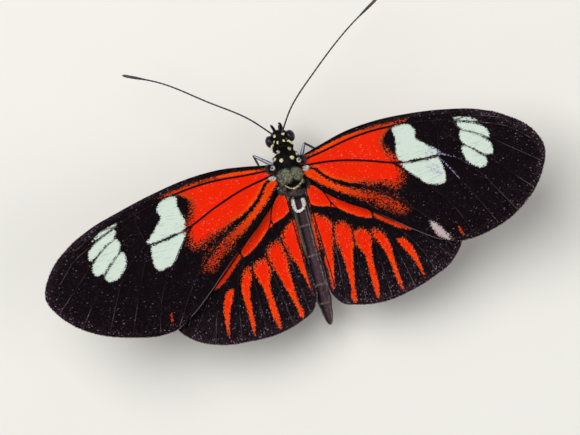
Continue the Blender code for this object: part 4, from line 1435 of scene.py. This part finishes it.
hairMaterial = hairFinish("body_hairs", 0.6, 0.12)
tuftHair = strandShape("hair_tuft", hair["strands"], hair["spread"], hair["bend"], hair["width"])
place, normal, rng = rootsOn(bodySkin.data, hair["count"], hairWeight, hair["seed"])
onHead = smooth(place[:, 1], 3.2, 4.6)
onPalp = smooth(place[:, 1], 6.7, 7.1)
lie = place * (0.35, 0, 0) + (0, -1, -0.15)
forwards = place * (0.2, 0, 0) + (0, 0.25, 1)
lie = lie * (1 - onPalp)[:, None] + forwards * onPalp[:, None]
lie = lie + rng.normal(0, hair["lieSpread"], lie.shape)
lift = hair["lift"] + rng.normal(0, hair["liftSpread"], len(place))
along = lying(normal, lie, lift + hair["headLift"] * onHead * (1 - onPalp))
behind = 1 - smooth(place[:, 1], 0.2, 1.8)
nearLine = 1 - smooth(lineDistance(place[:, :2], np.array(bodyMarks["crescent"]))[0], 0.1, 0.5)
headLength, frontLength, rearLength = hair["length"]
length = frontLength + (rearLength - frontLength) * behind * (1 - 0.7 * nearLine)
length = length * (1 - onHead) + headLength * onHead
length = length * (1 - (1 - hair["palpLength"]) * onPalp) * rng.uniform(0.7, 1.2, len(place))
thick = np.where(place[:, 1] > 3.2, 0.75, 1.0) * rng.uniform(0.8, 1.2, len(place))
darkest, added = hair["toneRange"]
coat = plantTufts("body_hairs", tuftHair, hairMaterial, {
    "place": place - normal * hair["rootDepth"], "along": along, "up": normal, "uv": bodyUnwrap(place),
    "width": length * thick, "length": length,
    "tone": bodyTone(place) * (darkest + added * rng.random((len(place), 1)) ** 2),
})
finishPiece(coat, "body_hair", None)
print("body hair", len(coat.data.polygons), "faces")

tuftScale = scaleShape("single_scale")
place, normal, rng = rootsOn(bodySkin.data, hair["abdomenCount"], abdomenWeight, hair["seed"] + 1)
lie = (0, -1, 0) + rng.normal(0, 0.1, (len(place), 3))
along = lying(normal, lie, rng.normal(0.12, 0.06, len(place)))
length = hair["abdomenLength"] * rng.uniform(0.8, 1.2, len(place))
coat = plantTufts("abdomen_scales", tuftScale, hairFinish("abdomen_scales", 0.5, 0.12), {
    "place": place - normal * 0.01, "along": along, "up": normal, "uv": bodyUnwrap(place),
    "width": length * 0.5, "length": length,
    "tone": bodyTone(place) * rng.uniform(0.4, 1.6, (len(place), 1)),
})
finishPiece(coat, "abdomen_scales", None)
print("abdomen scales", len(coat.data.polygons), "faces")


# Pale marks of broad scales, lying over the hair: dots in pairs, crescent, horseshoe, hooks by the eyes

markScale = {
    "spacing": 0.07,
    "length": 0.2,
    "over": 0.1,               # how far the roots stand off the skin
    # half width, tone, size of the scales
    "lines": {"crescent": (0.03, "paleYellow", 0.6), "horseshoe": (0.15, "white", 0.9)},
    "hook": ((1.72, 4.28, 9.7), (1.62, 4.5, 9.9), (1.38, 4.72, 10.0), (1.15, 4.9, 10.0)),
    "hookHalf": 0.13,
    "seed": 57,
}


def onSkin(x, y):
    # the place and outward direction of the skin above each point of the plan
    wide, high = bodyHalf(y)
    sway, height = bodyMiddle(y)
    t = np.clip((x - sway) / wide, -0.92, 0.92)
    up = np.sqrt(1 - t ** 2)
    place = np.stack([sway + t * wide, y, height + high * up], 1)
    return place, unit(np.stack([t / wide, 0 * y, up / high], 1))


def markRoots():
    # place, outward direction, tone and size of every scale of the pale marks
    rng = np.random.default_rng(markScale["seed"])
    spots, tones, sizes = [], [], []
    step = markScale["spacing"]
    for side in sides.values():
        for out, at, radius in bodyMarks["dots"]:
            count = int((radius / step) ** 2 * 4)
            turns, reach = rng.uniform(0, 2 * math.pi, count), radius * np.sqrt(rng.random(count))
            y = at + np.sin(turns) * reach
            spots.append(np.stack([side * (out + np.cos(turns) * reach) + crestAside(y), y], 1))
            tones += ["paleYellow"] * count
            sizes += [1.0] * count
    for name, (half, tone, size) in markScale["lines"].items():
        line = spline(bodyMarks[name], step * 0.5)
        line = np.repeat(line, max(1, round(half / step)), axis=0)
        spread = half * (1 + 0.5 * (name == "horseshoe") * smooth(line[:, 1:2], -6.2, -5.0))
        line = line + rng.uniform(-1, 1, line.shape) * spread
        spots.append(line + np.stack([crestAside(line[:, 1]), 0 * line[:, 1]], 1))
        tones += [tone] * len(line)
        sizes += [size] * len(line)
    place, normal = onSkin(*np.vstack(spots).T)
    normal = unit(normal + (0, 0, 0.6))
    place = place + normal * 0.07 * (place[:, 1:2] < 4)
    for side in sides.values():
        line = spline(markScale["hook"], step * 0.3)
        line = line + rng.uniform(-1, 1, line.shape) * markScale["hookHalf"]
        place = np.vstack([place, line * (side, 1, 1)])
        normal = np.vstack([normal, np.tile(unit(np.array([[side * 0.3, -0.3, 1.0]])), (len(line), 1))])
        tones += ["paleYellow"] * len(line)
        sizes += [1.0] * len(line)
    return place, normal, np.array([bodyMarks[tone] for tone in tones]), np.array(sizes), rng


place, normal, tone, size, rng = markRoots()
lie = (0, -1, 0) + rng.normal(0, 0.2, place.shape)
length = markScale["length"] * size * rng.uniform(0.8, 1.2, len(place))
coat = plantTufts("pale_marks", tuftScale, hairFinish("pale_mark_scales", 0.6, 0.1), {
    "place": place + normal * markScale["over"],
    "along": lying(normal, lie, rng.normal(0.2, 0.08, len(place))), "up": normal, "uv": bodyUnwrap(place),
    "width": length * 0.6, "length": length, "tone": tone * rng.uniform(0.85, 1.1, (len(place), 1)),
})
finishPiece(coat, "body_hair", None)
print("pale marks", len(coat.data.polygons), "faces")


# Eyes

eyeTones = {"dark": srgb(8, 5, 10), "violetSheen": srgb(26, 18, 40), "glint": srgb(66, 68, 104)}


def ellipsoidShell(centre, halfAxes, around=48, rows=28):
    rings = []
    for bend in np.linspace(-math.pi / 2, math.pi / 2, rows + 2)[1:-1]:
        turns = 2 * math.pi * np.arange(around) / around
        rings.append(np.stack([
            centre[0] + halfAxes[0] * math.cos(bend) * np.cos(turns),
            centre[1] + halfAxes[1] * math.cos(bend) * np.sin(turns),
            np.full(around, centre[2] + halfAxes[2] * math.sin(bend)),
        ], 1))
    points, faces = ringSkin(rings)
    points[-2] = (centre[0], centre[1], centre[2] - halfAxes[2])
    points[-1] = (centre[0], centre[1], centre[2] + halfAxes[2])
    return points, facingOut(points, faces)


def eyeFinish():
    finish = Finish("eye_lenses", 0.3, 0.2, coat=0.12, coatRoughness=0.1)
    place = finish.surfacePlace()
    cloud = finish.noise(place, speckScale["eyeCloud"])
    # the violet mottle and the pale glints in the base colour are painted sheen and painted highlights
    tone = finish.mix(finish.rise(cloud, 0.4, 0.66), eyeTones["dark"], eyeTones["violetSheen"])
    finish.colour(finish.mix(finish.rise(cloud, 0.6, 0.74) * 0.5, tone, eyeTones["glint"]))
    finish.bump(finish.cells(place, speckScale["eyeCells"], 1.0, out=0), 0.35, 0.00002)
    return finish.material


eyeMaterial = eyeFinish()
for sideName, side in sides.items():
    eye = meshObject(f"eye_{sideName}_lens", *ellipsoidShell(eyeCentre(side), bodyShape["eyeHalf"]))
    finishPiece(eye, "eye", eyeMaterial, f"eye_{sideName}")


# Antennae

antenna = {
    "root": (0.62, 6.1, 10.1),
    "bends": {
        "left": ((3.3, 9.3, 11.8), (9.0, 14.0, 12.9), (15.0, 18.9, 12.8), (21.0, 22.35, 12.0)),
        "right": ((3.2, 9.0, 11.8), (9.0, 13.6, 12.9), (15.0, 17.9, 12.8), (21.3, 21.6, 12.0)),
    },
    "radius": 0.125,
    "clubRadius": 0.24,
    "joints": 38,
    "around": 12,
    "step": 0.13,
    "dark": srgb(20, 16, 20),
    "club": srgb(70, 46, 34),
    "tip": srgb(150, 96, 60),
    "speck": srgb(130, 126, 140),
}


def antennaFinish():
    finish = Finish("feeler_scales", 0.45, 0.45)
    along = finish.attribute("lengthShare")
    speck = finish.noise(finish.surfacePlace(), speckScale["hair"])
    tone = finish.mix(finish.rise(along, 0.9, 0.97), antenna["dark"], antenna["club"])
    tone = finish.mix(finish.rise(along, 0.985, 1.0), tone, antenna["tip"])
    finish.colour(finish.mix(finish.rise(speck, 0.58, 0.72) * 0.5, tone, antenna["speck"]))
    return finish.material


antennaMaterial = antennaFinish()
for sideName, side in sides.items():
    line = spline(onSide(side, (antenna["root"], *antenna["bends"][sideName])), antenna["step"])
    share = np.linspace(0, 1, len(line))
    joint = (share * antenna["joints"]) % 1
    knots = 0.12 * np.sin(joint * math.pi) ** 2 - 0.16 * (joint < 0.16)
    radii = antenna["radius"] * (1.0 - 0.12 * share + knots)
    club = smooth(share, 0.82, 0.93) * (1 - smooth(share, 0.975, 1.0) * 0.75)
    radii = radii + (antenna["clubRadius"] - antenna["radius"]) * club
    radii = radii + 0.09 * np.exp(-((share - 0.012) / 0.012) ** 2)
    radii[-3:] = radii[-3:] * (0.85, 0.6, 0.25)
    points, faces = ringSkin(tubeRings(line, radii, antenna["around"]))
    shares = {"lengthShare": np.concatenate([np.repeat(share, antenna["around"]), [0.0, 1.0]])}
    feeler = meshObject(f"antenna_{sideName}_shaft", points, facingOut(points, faces), shares)
    finishPiece(feeler, "feeler", antennaMaterial, f"antenna_{sideName}")
print("eyes and antennae")


# Tongue

tongue = {
    "centre": (7.05, 6.3),     # of the coil, along the body and above the floor
    "turns": 1.5,
    "inner": 0.32,             # reach of the coil's inner end from its centre, and what the turns add
    "reach": 0.99,
    "radius": 0.19,
    "top": 8.3,                # where it meets the head
    "dark": srgb(26, 17, 14),
    "light": srgb(74, 50, 36),
}


def tongueFinish():
    finish = Finish("tongue_skin", 0.35, 0.5)
    speck = finish.noise(finish.surfacePlace(), speckScale["tongue"], 3.0)
    finish.colour(finish.mix(speck, tongue["dark"], tongue["light"]))
    finish.bump(speck, 0.3, 0.00003)
    return finish.material


steps = np.linspace(0, 1, 90)
turn = 2 * math.pi * tongue["turns"] * (steps - 1)
reach = tongue["inner"] + tongue["reach"] * steps
coilY, coilZ = tongue["centre"]
line = np.stack([0 * steps, coilY - reach * np.cos(turn), coilZ + reach * np.sin(turn)], 1)
rise = np.arange(line[-1, 2] + 0.1, tongue["top"], 0.1)
line = np.vstack([line, np.stack([0 * rise, np.full(len(rise), line[-1, 1]), rise], 1)])
grooves = 1 + 0.05 * np.sin(np.arange(len(line)) * 1.9)
taper = np.interp(np.arange(len(line)), (0, 8, len(line)), (0.35, 0.8, 1.05))
points, faces = ringSkin(tubeRings(line, tongue["radius"] * grooves * taper, 14))
coil = meshObject("tongue_coil", points, facingOut(points, faces))
finishPiece(coil, "tongue", tongueFinish(), "proboscis")


# Legs: thigh, shin and five-jointed foot with its claws, one piece to a leg

legs = {
    # hip, knee, ankle and claws
    "middle_left": ((1.75, 1.5, 7.0), (5.05, 4.45, 7.7), (5.7, 3.5, 0.3), (8.8, 2.3, 0.14)),
    "middle_right": ((1.75, 1.5, 7.0), (3.3, 3.95, 7.8), (4.5, 3.1, 0.3), (7.6, 2.0, 0.14)),
    "hind_left": ((1.7, -1.7, 7.0), (4.2, -5.2, 7.8), (5.9, -9.1, 0.3), (7.6, -13.4, 0.14)),
    "hind_right": ((1.7, -1.7, 7.0), (4.2, -5.2, 7.8), (5.9, -9.1, 0.3), (7.6, -13.4, 0.14)),
    "foreleg": ((0.8, 2.3, 7.1), (0.95, 3.3, 6.0), (0.9, 4.3, 6.0), (0.82, 5.1, 6.7)),
    # radii along each part
    "thigh": (0.27, 0.3, 0.2),
    "shin": (0.17, 0.19, 0.16),
    "foot": 0.135,
    "folded": (0.24, 0.22, 0.18, 0.12),
    "footShares": (0.42, 0.2, 0.15, 0.12, 0.11),
    "clawRadii": (0.06, 0.05, 0.02),
    "spines": 8,                       # pairs
    "spineReach": (0.3, 0.08, -0.22),  # aside, towards the claws and up
    "spineRadii": (0.035, 0.03, 0.01),
    "dark": srgb(17, 15, 21),
    "speck": srgb(92, 88, 96),
    "pale": srgb(196, 204, 220),
}


def legShells(hip, knee, ankle, claw):
    # every part of one leg, as shells that overlap
    hip, knee, ankle, claw = (np.array(p, float) for p in (hip, knee, ankle, claw))
    shells = [
        rodPiece([hip, (hip + knee) / 2, knee], legs["thigh"]),
        rodPiece([knee, (knee + ankle) / 2, ankle], legs["shin"]),
    ]
    stops = np.concatenate([[0], np.cumsum(legs["footShares"])])
    thick = legs["foot"]
    for a, b in zip(stops, stops[1:]):
        near, far = ankle + (claw - ankle) * a, ankle + (claw - ankle) * b
        near[2], far[2] = max(near[2], thick), max(far[2], thick)
        shells.append(rodPiece([near, (near + far) / 2, far], (thick, thick * 0.85, thick * 0.95)))
    ahead = unit((claw - ankle)[None])[0]
    beside = np.cross(ahead, (0, 0, 1))
    # claws
    for hand in (-1, 1):
        bend = claw + hand * beside * 0.1 + (0, 0, 0.03)
        tip = claw + ahead * 0.05 + hand * beside * 0.14
        tip[2] = 0.03
        shells.append(rodPiece([claw - ahead * 0.15, bend, tip], legs["clawRadii"], 6, 0.05))
    # spines in pairs along the shin
    aside, onwards, up = legs["spineReach"]
    for share in np.linspace(0.3, 0.95, legs["spines"]):
        root = knee + (ankle - knee) * share
        for hand in (-1, 1):
            tip = root + hand * beside * aside + ahead * onwards + (0, 0, up)
            shells.append(rodPiece([root, (root + tip) / 2, tip], legs["spineRadii"], 5, 0.1))
    return shells


def joinShells(shells):
    points, faces = [], []
    for some, more in shells:
        start = len(points)
        points += list(some)
        faces += [tuple(start + i for i in face) for face in more]
    return points, faces


def legFinish():
    finish = Finish("leg_scales", 0.5, 0.4)
    speck = finish.noise(finish.surfacePlace(), speckScale["hair"], 3.0)
    tone = finish.mix(finish.rise(speck, 0.5, 0.75) * 0.5, legs["dark"], legs["speck"])
    pale = finish.attribute("paleLine") * finish.rise(speck, 0.25, 0.5)
    finish.colour(finish.mix(pale, tone, legs["pale"]))
    finish.bump(speck, 0.4, 0.00003)
    return finish.material


def paleAlong(points, path):
    # a pale line along the upper side of a limb
    away, _ = lineDistance(np.array(points), np.array(path, float) + (0, 0, 0.32))
    return {"paleLine": 1 - smooth(away, 0.1, 0.2)}


legMaterial = legFinish()
for pair in ("middle", "hind"):
    for sideName, side in sides.items():
        path = onSide(side, legs[f"{pair}_{sideName}"])
        points, faces = joinShells(legShells(*path))
        leg = meshObject(f"{pair}_leg_{sideName}_shell", points, faces, paleAlong(points, path[:2]))
        covered = [f"{pair}_leg_{part}_{sideName}" for part in ("thigh", "shin", "foot")]
        finishPiece(leg, "leg", legMaterial, *covered)

for sideName, side in sides.items():
    path = onSide(side, legs["foreleg"])
    points, faces = rodPiece(path, legs["folded"], step=0.1)
    leg = meshObject(f"foreleg_{sideName}_shell", points, faces, paleAlong(points, path[2:]))
    finishPiece(leg, "leg", legMaterial, f"foreleg_{sideName}")
print("legs")


# Scales that stand out from the wings' outer margins, the caps over the forewings' roots, and root hairs

fringe = {
    "spacing": 0.055,
    "length": 0.3,
    "width": 0.1,
    "rooted": 0.16,            # how far inside the margin the scales are rooted
    "scatter": 0.03,
    "turnSpread": 0.12,
    "seed": 23,
    "tones": {"pale": srgb(150, 126, 134), "dark": srgb(44, 32, 36)},
    "paleShare": {"forewing": 0.5, "hindwing": 0.8},
}


def wingDirection(wing, side, along):
    du, dv = along.T
    tilt = wing["dihedral"]
    return np.stack([side * du * math.cos(tilt), dv, du * math.sin(tilt)], -1)


def wingUp(wing, side, count):
    tilt = wing["dihedral"]
    return np.tile((-side * math.sin(tilt), 0, math.cos(tilt)), (count, 1))


def pointsAt(line, reach, at):
    # the places on a line at these distances along it
    return np.stack([np.interp(at, reach, line[:, 0]), np.interp(at, reach, line[:, 1])], 1)


fringeMaterial = hairFinish("fringe_scales", 0.6, 0.08)
for wingName, wing in (("forewing", forewing), ("hindwing", hindwing)):
    for sideName, side in sides.items():
        margin = wingPlans[wingName, sideName][3]
        reach = lengthAlong(margin)
        rng = np.random.default_rng(fringe["seed"] + side)
        at = np.arange(0, reach[-1], fringe["spacing"])
        count = len(at)
        at = np.clip(at + rng.normal(0, fringe["scatter"], count), 0, reach[-1])
        course = unit(pointsAt(margin, reach, at + 0.2) - pointsAt(margin, reach, at - 0.2))
        outwards = np.stack([-course[:, 1], course[:, 0]], 1)
        root = pointsAt(margin, reach, at) - outwards * fringe["rooted"]
        share = at / reach[-1]
        middle = wing["bow"](*root.T) + wingShape["ripple"] * marginWave(share) - wingShape["sag"] * 0.6
        heading = outwards + course * rng.normal(0, fringe["turnSpread"], count)[:, None]
        fade = smooth(share, 0, 0.06) * (1 - smooth(share, 0.94, 1.0))
        length = fringe["length"] * rng.uniform(0.7, 1.1, count) * (0.4 + 0.6 * fade)
        isPale = rng.random(count)[:, None] < fringe["paleShare"][wingName]
        vanes = plantTufts(f"{wingName}_{sideName}_fringe", tuftScale, fringeMaterial, {
            "place": inSpace(wing, side, *root.T, middle),
            "along": unit(wingDirection(wing, side, heading)), "up": wingUp(wing, side, count),
            "width": np.full(count, fringe["width"]), "length": length,
            "uv": np.stack([share, np.full(count, 0.5)], 1),
            "tone": np.where(isPale, fringe["tones"]["pale"], fringe["tones"]["dark"]),
        })
        finishPiece(vanes, "wing_scales", None)

cap = {
    "place": (-0.45, 0.2, 0.8),        # in the forewing's own measure
    "half": (0.78, 0.55, 0.2),
    "hairs": 700,
    "hairLength": 0.3,
    "seed": 31,
    "hookPlace": (-0.46, 0.24),        # its centre outwards from the cap's, and its radius
    "hook": srgb(250, 250, 238),
    "dark": srgb(26, 20, 22),
    "grey": srgb(104, 94, 100),
}


def capTone(points, centre, side):
    # dark, greyer outwards, with a pale hook on the side towards the body
    out = side * (points[:, 0] - centre[0])
    ahead = points[:, 1] - centre[1]
    share = smooth(out, -0.1, 0.5)[:, None] * 0.7
    tone = np.array(cap["dark"]) * (1 - share) + np.array(cap["grey"]) * share
    centreOut, radius = cap["hookPlace"]
    hook = 1 - smooth(np.abs(np.hypot(out - centreOut, ahead) - radius), 0.07, 0.13)
    share = (hook * (1 - smooth(out, -0.4, -0.25) * smooth(ahead, -0.1, 0.1)))[:, None]
    return tone * (1 - share) + np.array(cap["hook"]) * share


for sideName, side in sides.items():
    centre = inSpace(forewing, side, *np.array(cap["place"]))
    points, faces = ellipsoidShell(centre, cap["half"], 32, 14)
    tones = capTone(np.array(points), centre, side)
    shell = meshObject(f"tegula_{sideName}_cap", points, faces, {"hairColour": tones})
    finishPiece(shell, "body_hair", bpy.data.materials["body_skin"], f"tegula_{sideName}")
    place, normal, rng = rootsOn(shell.data, cap["hairs"], capWeight, cap["seed"] + side)
    lie = (side * 0.5, -1, 0) + rng.normal(0, 0.2, place.shape)
    along = lying(normal, lie, rng.normal(0.25, 0.1, len(place)))
    length = cap["hairLength"] * rng.uniform(0.6, 1.0, len(place))
    coat = plantTufts(f"tegula_{sideName}_hairs", tuftHair, hairMaterial, {
        "place": place, "along": along, "up": normal, "width": length, "length": length,
        "uv": (place - centre)[:, :2] / 4 + 0.5,
        "tone": capTone(place, centre, side) * rng.uniform(0.8, 1.3, (len(place), 1)),
    })
    finishPiece(coat, "body_hair", None)

# wing, middle of the patch, its half sizes, direction, count, length, tone
rootHairSeed = 71
rootHair = {
    "white": ("forewing", (-0.52, -1.15), (0.5, 0.32), (0.5, -0.8), 420, 0.42, srgb(255, 255, 250)),
    "grey": ("forewing", (-0.8, -0.3), (0.4, 1.0), (1.0, -0.35), 160, 0.5, srgb(84, 74, 76)),
    "rear": ("hindwing", (0.05, -0.3), (0.5, 0.6), (0.3, -1.0), 200, 0.6, srgb(84, 76, 78)),
    "inner": ("hindwing", (-0.6, -3.3), (0.1, 1.6), (-0.45, -1.0), 300, 0.45, srgb(50, 42, 44)),
}

for patch, (wingName, middle, spread, lie, count, length, tone) in rootHair.items():
    wing = {"forewing": forewing, "hindwing": hindwing}[wingName]
    for sideName, side in sides.items():
        rng = np.random.default_rng(rootHairSeed + side + len(patch))
        turns, out = rng.uniform(0, 2 * math.pi, count), np.sqrt(rng.random(count))
        spots = np.array(middle) + np.stack([np.cos(turns), np.sin(turns)], 1) * out[:, None] * spread
        rise = wing["bow"](*spots.T) + wingShape["thickness"] / 2
        heading = np.array(lie) + rng.normal(0, 0.22, (count, 2))
        up = wingUp(wing, side, count)
        size = length * rng.uniform(0.6, 1.1, count)
        unevenness = (1.0, 1.0) if patch == "white" else (0.2, 2.8)
        coat = plantTufts(f"{wingName}_{sideName}_{patch}_hairs", tuftHair, hairMaterial, {
            "place": inSpace(wing, side, *spots.T, rise), "up": up,
            "along": unit(unit(wingDirection(wing, side, heading)) + up * 0.3),
            "width": size, "length": size, "uv": spots / wingShape["mapSize"] + 0.5,
            "tone": np.array(tone) * rng.uniform(*unevenness, (count, 1)),
        })
        finishPiece(coat, "body_hair", None)
print("fringes, wing caps and root hairs")

for shape in (tuftHair, tuftScale):
    bpy.data.objects.remove(shape)
